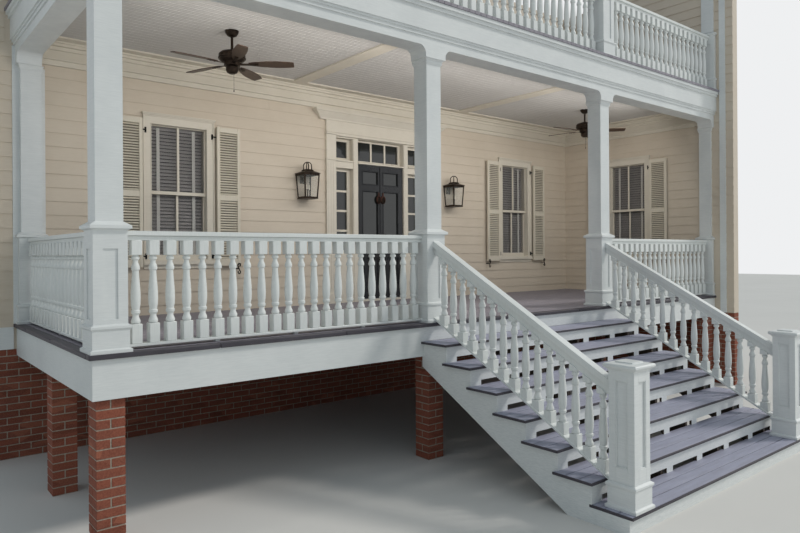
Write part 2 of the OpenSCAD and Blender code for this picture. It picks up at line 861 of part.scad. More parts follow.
module back_wall_over_door() {
    color(cream) placed() {
        box([door_x - surround_half, porch_depth, floor_z + surround_top],
            [door_x + surround_half, porch_depth + wall_t, wall_top]);
        box([door_x - surround_half, porch_depth, base_z],
            [door_x + surround_half, porch_depth + wall_t, floor_z]);
    }
}

module right_wall() {
    color(cream) placed() difference() {
        box([house_x, -side_stub, base_z], [house_x + wall_t, porch_depth + wall_t, wall_top]);
        on_side_wall(window_side_y) window_hole();
    }
}

module left_wall() {
    color(cream) placed()
        box([low_x, porch_depth, base_z], [-beam_out, porch_depth + wall_t, wall_top]);
}

// Flat boards on the house: sill board and upright of the left wall, uprights of the side wall
module corner_boards() {
    under = balcony_z - fascia_h - 60;
    thick = 20;
    color(white) placed() {
        box([low_x, porch_depth - 24, base_z], [-floor_over, porch_depth, floor_z - 34]);
        difference() {
            union() {
                box([-trim_x, porch_depth - thick, floor_z], [150, porch_depth, drop_z]);
                box([-trim_x, porch_depth - thick, floor_z], [-beam_out, porch_depth, under]);
            }
            translate([0, porch_depth, 0]) column();
        }
        box([house_x - thick, -balcony_over - 100, base_z],
            [house_x, -balcony_over - 2, wall_top]);
        box([house_x - pilaster_out, -balcony_line - shaft_w / 2, balcony_top + rail_h + cap_h],
            [house_x, -balcony_line + shaft_w / 2, wall_top]);
    }
}

module window_frames() {
    color(white) placed() at_windows() window_frame();
}

module window_glass() {
    color("#4d5a60") placed() at_windows() panes(38, 78, glass_t);
}

module window_blinds() {
    color("#8f8a80") placed() at_windows()
        box([-sash_w / 2, 118, sill_h + 10], [sash_w / 2, 130, sill_h + sash_h]);
}

module shutters() {
    edge = sash_w / 2 + casing_w + shutter_gap;
    color(cream) placed() at_windows() {
        translate([edge, 0, 0]) shutter();
        mirror([1, 0, 0]) translate([edge, 0, 0]) shutter();
    }
}

// Plate with recessed lights, pilasters at its ends and a frieze with a sloping crown above
module door_surround() {
    half = surround_half;
    edge = half + 106;
    crown = edge + 114;
    crown_top = frieze_top + crown_h;
    color(white) placed() on_back_wall(door_x) jamb_hinges();
    color(white) placed() on_back_wall(door_x) difference() {
        union() {
            box([-half, 0, 0], [half, surround_t, surround_top]);
            box([-edge, -44, surround_top - 22], [edge, 0, frieze_top]);
            for (s = [-1, 1]) {
                box([s * (edge - 83) - 83, -46, 0], [s * (edge - 83) + 83, 0, surround_top]);
                box([s * (edge - 83) - 85, -58, surround_top - 14],
                    [s * (edge - 83) + 85, 0, surround_top + 12]);
            }
            intersection() {
                translate([-crown - crown_flare, 0, 0]) rotate([90, 0, 90])
                    linear_extrude(2 * (crown + crown_flare)) polygon([[0, frieze_top],
                    [-62, frieze_top], [-66, frieze_top + 22], [-crown_out + 12, crown_top - 35],
                    [-crown_out, crown_top - 29], [-crown_out, crown_top], [0, crown_top]]);
                translate([0, 1, 0]) rotate([90, 0, 0]) linear_extrude(crown_out + 2)
                    polygon([for (p = [[-1, 0, 0], [-1, 0, 22], [-1, crown_flare - 12, crown_h - 35],
                        [-1, crown_flare, crown_h - 29], [-1, crown_flare, crown_h],
                        [1, crown_flare, crown_h], [1, crown_flare, crown_h - 29],
                        [1, crown_flare - 12, crown_h - 35], [1, 0, 22], [1, 0, 0]])
                        [p[0] * (crown + p[1]), frieze_top + p[2]]]);
            }
        }
        box([-door_w / 2, -60, 30], [door_w / 2, surround_t + 10, door_h]);
        surround_recesses();
        surround_panes(-60, surround_t + 10);
    }
}

module door_surround_glass() {
    color("#4d5a60") placed() on_back_wall(door_x)
        surround_panes(surround_recess + 15, surround_recess + 15 + glass_t);
}

module door_leaf_left() {
    color(dark) placed() at_hinge(-1) door_leaf();
}

module door_leaf_right() {
    color(dark) placed() at_hinge(1) door_leaf();
}

module door_glass_left() {
    color("#4d5a60") placed() at_hinge(-1) leaf_panes(-leaf_t / 2 - 3, -leaf_t / 2 + 3);
}

module door_glass_right() {
    color("#4d5a60") placed() at_hinge(1) leaf_panes(-leaf_t / 2 - 3, -leaf_t / 2 + 3);
}

module door_knob_left() {
    color(bronze) placed() at_hinge(-1) translate([leaf_w - 38, -leaf_t, 0]) knob();
}

module door_knob_right() {
    color(bronze) placed() at_hinge(1) translate([leaf_w - 38, -leaf_t, 0]) knob();
}

module wall_lanterns() {
    half = lantern_w / 2;
    foot = half * 0.84;
    color(bronze) placed() lantern_at() {
        lantern_cage(foot, half, lantern_h);
        translate([0, 0, lantern_h]) square_turned([[half, 0], [half, 8], [half + 8, 8],
            [half + 8, 16], [half * 0.5, 48], [half * 0.5, 62], [half * 0.42, 62], [half * 0.42, 68]]);
        translate([0, 0, -12]) square_turned([[foot + 3, 0], [foot + 3, 12]]);
        for (a = [45, 135]) translate([0, 0, lantern_h + 60]) rotate([0, 0, a])
            rotate([90, 0, 0]) hoop(64, 54, 12);
        box([-10, half - 6, lantern_h - 15], [10, lantern_out - 10, lantern_h]);
        box([-lantern_plate_w / 2, lantern_out - 14, lantern_h + 5 - lantern_plate_h],
            [lantern_plate_w / 2, lantern_out, lantern_h + 5]);
    }
}

module lantern_glass() {
    half = lantern_w / 2;
    inset = lantern_bar + pane_clear;
    color("#c9cfd0") placed() lantern_at()
        square_tube(half * 0.84 - inset, half - inset, 4, lantern_h);
}

module fan_mounts() {
    color(bronze) placed() {
        at_fan(fan_left_x) fan_mount();
        at_fan(fan_right_x) fan_mount();
    }
}

module fan_rotor_left() {
    color(bronze) placed() at_fan(fan_left_x) fan_rotor(fan_turn_left);
}

module fan_rotor_right() {
    color(bronze) placed() at_fan(fan_right_x) fan_rotor(fan_turn_right);
}

module fan_blades_left() {
    color("#4a3020") placed() at_fan(fan_left_x)
        each_blade(fan_turn_left) linear_extrude(8) fan_blade_plan();
}

module fan_blades_right() {
    color("#4a3020") placed() at_fan(fan_right_x)
        each_blade(fan_turn_right) linear_extrude(8) fan_blade_plan();
}

brick_foundation();
floor_rim();
floor_joists();
porch_floor();
skirt_boards();
stair_stringers();
stair_risers();
stair_treads();
newel_posts();
stair_rails();
porch_columns();
porch_balustrades();
front_beam();
side_beam();
balcony_fascia();
porch_ceiling();
ceiling_boards();
wall_cornice();
balcony_floor();
balcony_posts();
balcony_balustrades();
back_wall_left();
back_wall_right();
back_wall_over_door();
right_wall();
left_wall();
corner_boards();
window_frames();
window_glass();
window_blinds();
shutters();
door_surround();
door_surround_glass();
door_leaf_left();
door_leaf_right();
door_glass_left();
door_glass_right();
door_knob_left();
door_knob_right();
wall_lanterns();
lantern_glass();
fan_mounts();
fan_rotor_left();
fan_rotor_right();
fan_blades_left();
fan_blades_right();
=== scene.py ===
import math
import random

import bmesh
import bpy
from mathutils import Matrix, Vector


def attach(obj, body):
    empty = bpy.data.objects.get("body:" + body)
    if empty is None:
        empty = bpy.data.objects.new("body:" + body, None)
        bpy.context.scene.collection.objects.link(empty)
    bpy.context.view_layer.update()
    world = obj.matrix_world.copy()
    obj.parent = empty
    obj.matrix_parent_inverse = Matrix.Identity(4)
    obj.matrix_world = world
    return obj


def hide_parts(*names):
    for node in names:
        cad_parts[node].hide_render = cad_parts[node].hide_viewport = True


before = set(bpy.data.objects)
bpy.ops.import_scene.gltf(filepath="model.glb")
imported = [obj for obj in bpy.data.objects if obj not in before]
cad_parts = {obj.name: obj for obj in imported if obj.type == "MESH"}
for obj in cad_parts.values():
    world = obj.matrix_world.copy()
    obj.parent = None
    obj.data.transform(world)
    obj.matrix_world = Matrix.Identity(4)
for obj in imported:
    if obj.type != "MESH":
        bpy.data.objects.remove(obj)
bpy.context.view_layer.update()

random.seed(7)

# Sizes of the porch in millimetres: x from the corner column, y from the column line, z from the ground
RISER = 185
GOING = 336
STEPS = 7
LANDING = 150
FLOOR = LANDING + STEPS * RISER
BOARD = 38
TREAD_T = 24
NOSING = 30
RISER_T = 25
FLOOR_OVER = 165
RISER_SLOT = 455
SLOT_H = 50
SLOT_PITCH = 564
SLOT_MARGIN = 145
STAIR_LEFT = 3270
STAIR_RIGHT = 6415
HOUSE_X = 9500
END_COLUMN = HOUSE_X + 65
DEPTH = 2837
WALL = 150
LOW_X = -560
STUB = 450
TRIM_X = 165
TREAD_END = 40
TREAD_X0 = STAIR_LEFT - 230
TREAD_X1 = STAIR_RIGHT + 230
LANDING_X1 = TREAD_X1 - TREAD_END
SKIRT_Y = -FLOOR_OVER + NOSING
CARRIAGE_T = 40
CARRIAGE_DROP = 480
FRONT_Y = -FLOOR_OVER - STEPS * GOING
BEAM_IN = 100
BASE = FLOOR - 270
BEAM_LOW = FLOOR + 2776
FASCIA_LOW = FLOOR + 2983
CEILING = FLOOR + 3113
BALCONY = FLOOR + 2892 + 447
BALCONY_TOP = BALCONY + 35
BALCONY_OVER = 232
WALL_TOP = BALCONY_TOP + 2000
POST_H = 985
BALCONY_LINE = 50
# Middle of the footprint, where the shared frame begins
MID_X = (LOW_X + HOUSE_X + WALL) / 2
MID_Y = (FRONT_Y + DEPTH + WALL) / 2

# Windows, shutters and door
SASH_W = 695
SASH_H = 1650
SILL = 667
CASING_W = 102
CASING_T = 30
LEFT_WINDOW, RIGHT_WINDOW, SIDE_WINDOW = 1650, 7950, 1450
WINDOWS = [("back", LEFT_WINDOW), ("back", RIGHT_WINDOW), ("side", SIDE_WINDOW)]
SHUTTER_W = 320
SHUTTER_OUT = 50
SHUTTER_T = 34
SHUTTER_GAP = 18
DOOR_X = 4842
DOOR_W = 890
DOOR_H = 2085
LEAF_T = 45
LEAF_Y = 20
DOOR_PANELS = ((760, 1679), (1788, 1983), (250, 660))
SIDELIGHT_X = 703
SIDELIGHT_W = 215
SIDELIGHT_BARS = (1072, 1368, 1663)
RECESS = 85
SURROUND_HALF = 1036
HEAD_ROOM = 2835 - 20 - DOOR_H
FRIEZE_TOP = 2815 - HEAD_ROOM * 0.19
SURROUND_TOP = FRIEZE_TOP - HEAD_ROOM * 0.26

# Lanterns and fans
LANTERN_X = 1420
LANTERN_OUT = 147
LANTERN_Z = 1510
LANTERN_H = 330
LANTERN_W = 245
FAN_SPOTS = {"fan_left": (1650, 1310, 38), "fan_right": (7980, 1310, 26)}
FAN_H = 2760
BLADE_PITCH = 11


# ---- Meshes ----

SHARP_ANGLE = 30
SHARP_CAD_ANGLE = 32


def back(x0):
    """Place on the back wall: x from x0, y into the wall, z from the floor."""
    return lambda x, y, z: (x0 + x, DEPTH + y, FLOOR + z)


def side(y0):
    """The same on the side wall, from y0."""
    return lambda x, y, z: (HOUSE_X + y, y0 - x, FLOOR + z)


def plain(x, y, z):
    return (x, y, z)


def tube_faces(rings, sides):
    """Faces between rings of points, with the first and the last ring closed."""
    faces = [[j * sides + k, j * sides + (k + 1) % sides, (j + 1) * sides + (k + 1) % sides, (j + 1) * sides + k]
             for j in range(rings - 1) for k in range(sides)]
    return faces + [list(range(sides))[::-1], list(range((rings - 1) * sides, rings * sides))]


WALL_PLACE = {"back": back, "side": side}


def add_object(name, data):
    made = bpy.data.objects.new(name, data)
    bpy.context.scene.collection.objects.link(made)
    return made


class Piece:
    """Collects faces given in millimetres and becomes one object riding on a body."""

    def __init__(self, place=plain):
        self.place = place
        self.points = []
        self.faces = []

    def at(self, place):
        self.place = place

    def solid(self, points, faces):
        first = len(self.points)
        for p in points:
            x, y, z = self.place(*p)
            self.points.append(((x - MID_X) / 1000, (y - MID_Y) / 1000, z / 1000))
        self.faces += [[first + i for i in f] for f in faces]

    def box(self, low, high):
        (a, b, c), (d, e, f) = low, high
        self.solid([(a, b, c), (d, b, c), (d, e, c), (a, e, c), (a, b, f), (d, b, f), (d, e, f), (a, e, f)],
                   [(0, 3, 2, 1), (4, 5, 6, 7), (0, 1, 5, 4), (1, 2, 6, 5), (2, 3, 7, 6), (3, 0, 4, 7)])

    def prism(self, outline, start, end, place_point=plain):
        """Outline points (u, v) swept from t = start to end; place_point(t, u, v) gives x, y, z."""
        n = len(outline)
        points = [place_point(t, u, v) for t in (start, end) for u, v in outline]
        faces = [[i, (i + 1) % n, n + (i + 1) % n, n + i] for i in range(n)]
        self.solid(points, faces + [list(range(n))[::-1], list(range(n, 2 * n))])

    def turned(self, outline, centre=(0, 0, 0), axis="z", sides=24):
        """Radii and heights turned round an axis through the centre."""
        points = []
        for r, h in outline:
            for k in range(sides):
                a = 2 * math.pi * k / sides
                u, v = r * math.cos(a), r * math.sin(a)
                spin = {"z": (u, v, h), "y": (u, h, v), "x": (h, u, v)}[axis]
                points.append(tuple(c + s for c, s in zip(centre, spin)))
        self.solid(points, tube_faces(len(outline), sides))

    def bar(self, path, radius, sides=10):
        """Round bar along a path of points."""
        rings = []
        for i, p in enumerate(path):
            ahead = Vector(path[min(i + 1, len(path) - 1)]) - Vector(path[max(i - 1, 0)])
            ahead.normalize()
            across = ahead.orthogonal() if i == 0 else (across - ahead * across.dot(ahead))
            across.normalize()
            up = ahead.cross(across)
            rings += [tuple(Vector(p) + (across * math.cos(a) + up * math.sin(a)) * radius)
                      for a in (2 * math.pi * k / sides for k in range(sides))]
        self.solid(rings, tube_faces(len(path), sides))

    def done(self, name, material, slot, body="porch", bevel=0):
        mesh = bpy.data.meshes.new(name)
        mesh.from_pydata(self.points, [], self.faces)
        mesh.materials.append(material)
        mesh.validate()
        made = add_object(name, mesh)
        fix = bmesh.new()
        fix.from_mesh(mesh)
        bmesh.ops.recalc_face_normals(fix, faces=fix.faces)
        fix.to_mesh(mesh)
        fix.free()
        shade(made, SHARP_ANGLE)
        if bevel:
            round_edges = made.modifiers.new("edges", "BEVEL")
            round_edges.width = bevel / 1000
            round_edges.segments = 1
            round_edges.limit_method = "ANGLE"
        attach(made, body)
        return made


def shade(obj, angle):
    """Smooth faces, with sharp edges where they meet at more than the angle."""
    for face in obj.data.polygons:
        face.use_smooth = True
    obj.data.set_sharp_from_angle(angle=math.radians(angle))


# ---- Materials ----

def colour(code):
    """Linear colour of a screen colour written as six hexadecimal digits."""
    parts = [int(code[i:i + 2], 16) / 255 for i in (0, 2, 4)]
    return tuple(c / 12.92 if c <= 0.04045 else ((c + 0.055) / 1.055) ** 2.4 for c in parts) + (1.0,)


def fill(node, values):
    for name, value in values.items():
        node.inputs[name].default_value = value


class Surface:
    """A Principled material with helpers that add its noise, bump and colour nodes."""

    def __init__(self, name, rough=0.5, metal=0.0, level=0.5):
        self.made = bpy.data.materials.new(name)
        self.made.use_nodes = True
        self.tree = self.made.node_tree
        self.shader = self.tree.nodes["Principled BSDF"]
        fill(self.shader, {"Roughness": rough, "Metallic": metal, "Specular IOR Level": level})
        self.place = self.add("ShaderNodeTexCoord").outputs["Object"]

    def add(self, kind, **values):
        node = self.tree.nodes.new(kind)
        for key, value in values.items():
            setattr(node, key, value)
        return node

    def link(self, a, b):
        self.tree.links.new(a, b)

    def stretched(self, scale):
        node = self.add("ShaderNodeMapping")
        fill(node, {"Scale": scale})
        self.link(self.place, node.inputs["Vector"])
        return node.outputs["Vector"]

    def noise(self, size, stretch=(1, 1, 1), detail=4, rough=0.55):
        node = self.add("ShaderNodeTexNoise")
        fill(node, {"Scale": size, "Detail": detail, "Roughness": rough})
        self.link(self.stretched(stretch), node.inputs["Vector"])
        return node.outputs["Fac"]

    def ramp(self, source, stops):
        node = self.add("ShaderNodeValToRGB")
        marks = node.color_ramp.elements
        for mark, (spot, tint) in zip(marks, (stops[0], stops[-1])):
            mark.position, mark.color = spot, tint
        for spot, tint in stops[1:-1]:
            marks.new(spot).color = tint
        self.link(source, node.inputs["Fac"])
        return node.outputs["Color"]

    def mix(self, amount, a, b):
        node = self.add("ShaderNodeMix", data_type="RGBA")
        if isinstance(amount, float):
            node.inputs["Factor"].default_value = amount
        else:
            self.link(amount, node.inputs["Factor"])
        for value, spot in ((a, "A"), (b, "B")):
            socket = [i for i in node.inputs if i.name == spot and i.type == "RGBA"][0]
            if isinstance(value, tuple):
                socket.default_value = value
            else:
                self.link(value, socket)
        return [o for o in node.outputs if o.type == "RGBA"][0]

    def maths(self, kind, a, b=None):
        node = self.add("ShaderNodeMath", operation=kind)
        for spot, value in enumerate((a, b)):
            if isinstance(value, (int, float)):
                node.inputs[spot].default_value = value
            elif value is not None:
                self.link(value, node.inputs[spot])
        return node.outputs["Value"]

    def split(self, source):
        node = self.add("ShaderNodeSeparateXYZ")
        self.link(source, node.inputs["Vector"])
        return node.outputs

    def facing(self):
        return self.split(self.add("ShaderNodeNewGeometry").outputs["True Normal"])

    def colour(self, source):
        self.link(source, self.shader.inputs["Base Color"])

    def rough(self, source, low, high):
        node = self.add("ShaderNodeMapRange")
        fill(node, {"To Min": low, "To Max": high})
        self.link(source, node.inputs["Value"])
        self.link(node.outputs["Result"], self.shader.inputs["Roughness"])

    def bump(self, source, strength, distance):
        node = self.add("ShaderNodeBump")
        fill(node, {"Strength": strength, "Distance": distance})
        self.link(source, node.inputs["Height"])
        self.link(node.outputs["Normal"], self.shader.inputs["Normal"])


def painted(name, base, shadow, grain=(1, 1, 14), rough=0.42, underside_shade=None):
    """Brushed paint on wood: streaks along the grain, patches of dust and, if given, a darker tint as painted shade
    on the faces that look down.
    """
    s = Surface(name, rough=rough)
    streak = s.noise(9, grain, detail=6)
    patch = s.noise(1.6, detail=5, rough=0.6)
    tone = s.ramp(streak, [(0.3, shadow), (0.7, base)])
    dusty = s.ramp(patch, [(0.35, shadow), (0.62, base)])
    tint = s.mix(0.5, tone, dusty)
    if underside_shade:
        # Faces that look down take the darker tint: painted shade.
        tint = s.mix(s.maths("LESS_THAN", s.facing()["Z"], -0.3), tint, underside_shade)
    s.colour(tint)
    s.rough(patch, rough - 0.06, rough + 0.1)
    s.bump(s.noise(60, grain, detail=3), 0.18, 0.0006)
    return s.made


def stair_paint(name, paint, raw_timber_and_shade, white_fronts):
    """Paint at the ends of the steps, raw timber within, made dark as painted shade under the steps; white_fronts
    keeps the paint on what looks forward.
    """
    s = Surface(name, rough=0.45)
    middle = ((TREAD_X0 + TREAD_X1) / 2 - MID_X) / 1000
    reach = (TREAD_X1 - TREAD_X0) / 2000 - 0.1
    away = s.maths("ABSOLUTE", s.maths("SUBTRACT", s.split(s.place)["X"], middle))
    inner_timber_and_shade = s.maths("LESS_THAN", away, reach)
    if white_fronts:
        inner_timber_and_shade = s.maths("MULTIPLY", inner_timber_and_shade, s.maths("GREATER_THAN", s.facing()["Y"], -0.5))
    grain = s.noise(20, (1, 1, 8), detail=5)
    # Inner parts take the dark timber tones: raw wood, darkened as painted shade under the steps.
    s.colour(s.mix(inner_timber_and_shade, s.ramp(grain, [(0.3, colour("d3d7d7")), (0.7, paint)]),
                   s.ramp(grain, [(0.3, colour("40362c")), (0.7, raw_timber_and_shade)])))
    s.bump(grain, 0.1, 0.0006)
    return s.made


def floor_boards(name, base, dark, pale, grain):
    """Weathered floor paint: tones drawn out along the grain, with pale scuffs."""
    s = Surface(name, rough=0.5)
    tone = s.ramp(s.noise(3.5, grain, detail=7, rough=0.65), [(0.3, dark), (0.55, base), (0.75, pale)])
    scuff = s.ramp(s.noise(14, detail=8, rough=0.7), [(0.55, (0, 0, 0, 1)), (0.75, (0.35, 0.35, 0.35, 1))])
    s.colour(s.mix(scuff, tone, pale))
    s.rough(s.noise(8, grain), 0.4, 0.68)
    s.bump(s.noise(40, grain, detail=5), 0.3, 0.001)
    return s.made


def bricks_material(name):
    s = Surface(name, rough=0.85, level=0.3)
    cell = s.add("ShaderNodeTexVoronoi", feature="F1")
    fill(cell, {"Scale": 1.0})
    s.link(s.stretched((4.4, 4.4, 13.6)), cell.inputs["Vector"])
    tone = s.ramp(cell.outputs["Color"], [(0.1, colour("6f3a2c")), (0.45, colour("8e4e3c")),
                                          (0.7, colour("7a4638")), (0.9, colour("a0614b"))])
    grit = s.ramp(s.noise(90, detail=6, rough=0.7), [(0.35, colour("5b3024")), (0.65, colour("a8705b"))])
    s.colour(s.mix(0.35, tone, grit))
    s.bump(s.noise(140, detail=5), 0.5, 0.002)
    return s.made


def mortar_material(name):
    s = Surface(name, rough=0.95, level=0.2)
    s.colour(s.ramp(s.noise(60, detail=7), [(0.3, colour("8d8478")), (0.7, colour("b3aa9c"))]))
    s.bump(s.noise(200), 0.5, 0.001)
    return s.made


def glass_material(name, tint, alpha):
    s = Surface(name, rough=0.04, level=0.8)
    s.colour(s.ramp(s.noise(0.9, detail=2), [(0.3, tint), (0.7, tuple(c * 1.5 for c in tint[:3]) + (1.0,))]))
    fill(s.shader, {"Alpha": alpha})
    s.made.surface_render_method = "BLENDED"
    return s.made


def metal_material(name, base, light, rough, metal=0.8):
    s = Surface(name, rough=rough, metal=metal)
    s.colour(s.ramp(s.noise(25, detail=6), [(0.35, base), (0.75, light)]))
    s.rough(s.noise(50), rough - 0.08, rough + 0.12)
    s.bump(s.noise(120), 0.15, 0.0005)
    return s.made


def blade_material(name):
    s = Surface(name, rough=0.38)
    s.colour(s.ramp(s.noise(7, detail=8, rough=0.7), [(0.3, colour("2e2018")), (0.7, colour("4b372a"))]))
    s.bump(s.noise(60), 0.15, 0.0005)
    return s.made


white = painted("white_paint", colour("e4e7e6"), colour("d3d7d7"))
# Dark raw timber inside the steps, partly painted shade.
riser_white = stair_paint("riser_paint", colour("e4e7e6"), colour("5a4c3e"), True)
carriage_white = stair_paint("carriage_paint", colour("e4e7e6"), colour("4a3e33"), False)
white_rail = painted("white_rail_paint", colour("e8ebe9"), colour("d9dddb"), grain=(14, 14, 1))
cream = painted("cream_siding_paint", colour("d5c9b8"), colour("cabdab"), grain=(1, 1, 20), rough=0.5)
trim = painted("cream_trim_paint", colour("dbd4c6"), colour("cfc7b8"), rough=0.42)
ceiling_grey = painted("ceiling_paint", colour("c3c0bc"), colour("b7b4b0"), grain=(1, 12, 12), rough=0.5)
shutter_cream = painted("shutter_paint", colour("dad2c2"), colour("cdc5b4"), grain=(12, 12, 1), rough=0.45)
# The louvres' undersides get a darker tint as painted shade.
louvre_cream = painted("louvre_paint", colour("dad2c2"), colour("cdc5b4"), grain=(1, 1, 14), underside_shade=colour("8d8576"))
# Dark sheet behind the louvres: painted shade in the gaps between them.
louvre_shade = painted("louvre_painted_shade", colour("7d7567"), colour("6c6558"), grain=(1, 1, 14), rough=0.6)
black_door = painted("black_door_paint", colour("26272a"), colour("1b1c1f"), grain=(14, 14, 1), rough=0.22)
deck = floor_boards("floor_paint", colour("8b8790"), colour("75717b"), colour("a09da7"), (1, 9, 1))
deck_across = floor_boards("tread_paint", colour("a1a3b6"), colour("9797a7"), colour("adaebd"), (1, 9, 9))
# Dark grey of the nosings and edge boards: dark paint, deepened as painted shade on the edges.
dark_edge_and_shade = painted("nosing_edge_paint_and_shade", colour("45424a"), colour("322f36"), grain=(1, 9, 9), rough=0.55)
timber = painted("frame_timber", colour("8c7a64"), colour("6c5d4b"), grain=(9, 1, 9), rough=0.8)
brick = bricks_material("foundation_brick")
mortar = mortar_material("foundation_mortar")
pane = glass_material("window_pane", colour("2b2f30"), 0.16)
# Opaque near-black door glass: painted shade of the dark room behind it.
door_pane_room_shade = glass_material("door_pane_painted_shade", colour("1e201f"), 1.0)
lamp_pane = glass_material("lantern_pane", colour("b9bdb8"), 0.07)
bronze = metal_material("dark_bronze", colour("2a231e"), colour("4a3d33"), 0.42)
iron = metal_material("black_iron", colour("0e0e0f"), colour("232324"), 0.5)
ornament = metal_material("red_brown_knocker", colour("3c231c"), colour("5e382c"), 0.5, metal=0.3)
blades = blade_material("fan_blade_wood")
slat = painted("blind_slat", colour("bdb8b6"), colour("aaa5a3"), grain=(1, 1, 1), rough=0.55)
tape = painted("blind_tape", colour("f2f0ea"), colour("e8e5de"), grain=(1, 1, 1), rough=0.7)
# Near-black sheet behind the blinds: painted shade of the dark room.
room_shade_sheet = painted("blind_room_shade", colour("15151a"), colour("0d0d11"), rough=0.9)
candle = painted("lantern_candle", colour("e7e0cf"), colour("d8d0bd"), rough=0.6)


# ---- Walls ----

COURSE = 152.5
FIRST_COURSE = FLOOR + 110
SIDING_BUTT, SIDING_THIN = 14, 4
SIDING_LONGEST = 4200
SIDING_LENGTHS = (2200, 3900)
SIDING_GAP = 1.2
SILL_DEEP = 108
HEAD_HIGH = 134
CORNICE_LOW = CEILING - 18 - 262

# Bricks: length, height of a course with its joint, joint, half width of a pier, depth of the raked joints
BRICK = 215
BRICK_COURSE = 75
JOINT = 10
PIER_HALF = 105
RAKED = 4


def free_spans(low, high, holes):
    """Parts between low and high that no hole covers."""
    spans = [(low, high)]
    for a, b in holes:
        spans = [part for s, e in spans for part in ((s, min(e, a)), (max(s, b), e)) if part[1] - part[0] > 1]
    return spans


def lap_siding(piece, to_wall, u0, u1, z0, z1, holes):
    """Courses of wedge boards on a wall; to_wall(u, out, z) gives the point on that wall."""
    n = math.floor((z0 - FIRST_COURSE) / COURSE)
    while FIRST_COURSE + n * COURSE < z1:
        foot = FIRST_COURSE + n * COURSE
        low, high = max(foot, z0), min(foot + COURSE, z1)
        cuts = sorted({low, high} | {z for h in holes for z in h[2:] if low < z < high})
        for a, b in zip(cuts, cuts[1:]):
            blocked = [(h[0], h[1]) for h in holes if h[2] < b - 0.5 and h[3] > a + 0.5]
            for s, e in free_spans(u0, u1, blocked):
                out = [SIDING_BUTT - (SIDING_BUTT - SIDING_THIN) * (z - foot) / COURSE for z in (a, b)]
                joints = [s]
                while e - joints[-1] > SIDING_LONGEST and b - a > 100:
                    joints.append(joints[-1] + random.uniform(*SIDING_LENGTHS))
                for start, end in zip(joints, joints[1:] + [e]):
                    gap = SIDING_GAP if end != e else 0
                    piece.prism([(0, a), (out[0], a), (out[1], b), (0, b)], start, end - gap, to_wall)
        n += 1


def make_siding():
    """Siding with a hole, as from, to, foot and head, wherever a window, trim, a post or a floor covers it."""
    casing = SASH_W / 2 + CASING_W
    window_hole = lambda u: (u - casing, u + casing, FLOOR + SILL - SILL_DEEP, FLOOR + SILL + SASH_H + HEAD_HIGH)
    back_wall = lambda u, out, z: (u, DEPTH - out, z)
    right_wall = lambda u, out, z: (HOUSE_X - out, u, z)
    post_top = BALCONY_TOP + POST_H
    post = (-200, 100, BALCONY_TOP, post_top)
    fascia = -BALCONY_OVER - 2
    door = (DOOR_X - SURROUND_HALF, DOOR_X + SURROUND_HALF, FLOOR, FLOOR + FRIEZE_TOP + 20)
    inside = Piece()
    lap_siding(inside, back_wall, 150, HOUSE_X, FLOOR, CORNICE_LOW,
               [window_hole(LEFT_WINDOW), window_hole(RIGHT_WINDOW), door])
    inside.done("siding_back_wall", cream, "cream_paint")
    right = Piece()
    lap_siding(right, right_wall, -STUB, DEPTH, BASE + 2, WALL_TOP, [
        window_hole(SIDE_WINDOW), (fascia - 98, fascia, 0, WALL_TOP), (-FLOOR_OVER - 1, DEPTH, 0, FLOOR),
        (-150, 150, FLOOR, FLOOR + POST_H), (-100, 100, FLOOR, BEAM_LOW), (-142, 100, BEAM_LOW, FASCIA_LOW),
        (fascia, 100, FASCIA_LOW, BALCONY_TOP), (100, DEPTH, CORNICE_LOW, BALCONY_TOP),
        post, (-150, 50, post_top, WALL_TOP)])
    right.done("siding_right_wall", cream, "cream_paint")
    upper = Piece()
    lap_siding(upper, back_wall, -TRIM_X, HOUSE_X, BALCONY_TOP, WALL_TOP, [post])
    lap_siding(upper, back_wall, LOW_X, -TRIM_X, FLOOR - 34, WALL_TOP, [(fascia, 0, FASCIA_LOW, BALCONY_TOP), post])
    upper.done("siding_upper_wall", cream, "cream_paint")


def brick_row(low, high, shift):
    """Both ends of the bricks between low and high, in a row laid out from shift before low."""
    spot = low - shift
    while spot < high:
        a, b = max(spot, low), min(spot + BRICK, high)
        if b - a > 20:
            yield a, b
        spot += BRICK + JOINT


def make_bricks():
    count = round(BASE / BRICK_COURSE)
    course = BASE / count
    piers = [(x, 0) for x in (0, STAIR_LEFT, STAIR_RIGHT, HOUSE_X - 130)] + [(0, DEPTH / 2)]
    far_x, far_y = HOUSE_X + WALL, DEPTH - JOINT
    bricks = Piece()
    for n in range(count):
        z0, z1 = n * course + JOINT / 2, (n + 1) * course - JOINT / 2
        shift = 112 if n % 2 else 0
        for a, b in brick_row(LOW_X, far_x, shift):
            bricks.box((a, DEPTH, z0), (b, DEPTH + WALL, z1))
        for a, b in brick_row(-STUB, far_y, shift):
            bricks.box((HOUSE_X, a, z0), (far_x, b, z1))
        for px, py in piers:
            for lo, hi in ((-PIER_HALF, -JOINT / 2), (JOINT / 2, PIER_HALF)):
                if n % 2:
                    bricks.box((px - PIER_HALF, py + lo, z0), (px + PIER_HALF, py + hi, z1))
                else:
                    bricks.box((px + lo, py - PIER_HALF, z0), (px + hi, py + PIER_HALF, z1))
    made = bricks.done("foundation_bricks", brick, "brick", bevel=3)
    core = Piece()
    core.box((LOW_X + RAKED, DEPTH + RAKED, 0), (far_x - RAKED, DEPTH + WALL - RAKED, BASE))
    core.box((HOUSE_X + RAKED, -STUB + RAKED, 0), (far_x - RAKED, DEPTH + 5, BASE))
    thin = PIER_HALF - RAKED
    for px, py in piers:
        core.box((px - thin, py - thin, 0), (px + thin, py + thin, BASE))
    core.done("foundation_mortar_core", mortar, "brick")
    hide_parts("brick_foundation")


# ---- Floors, steps and ceiling ----

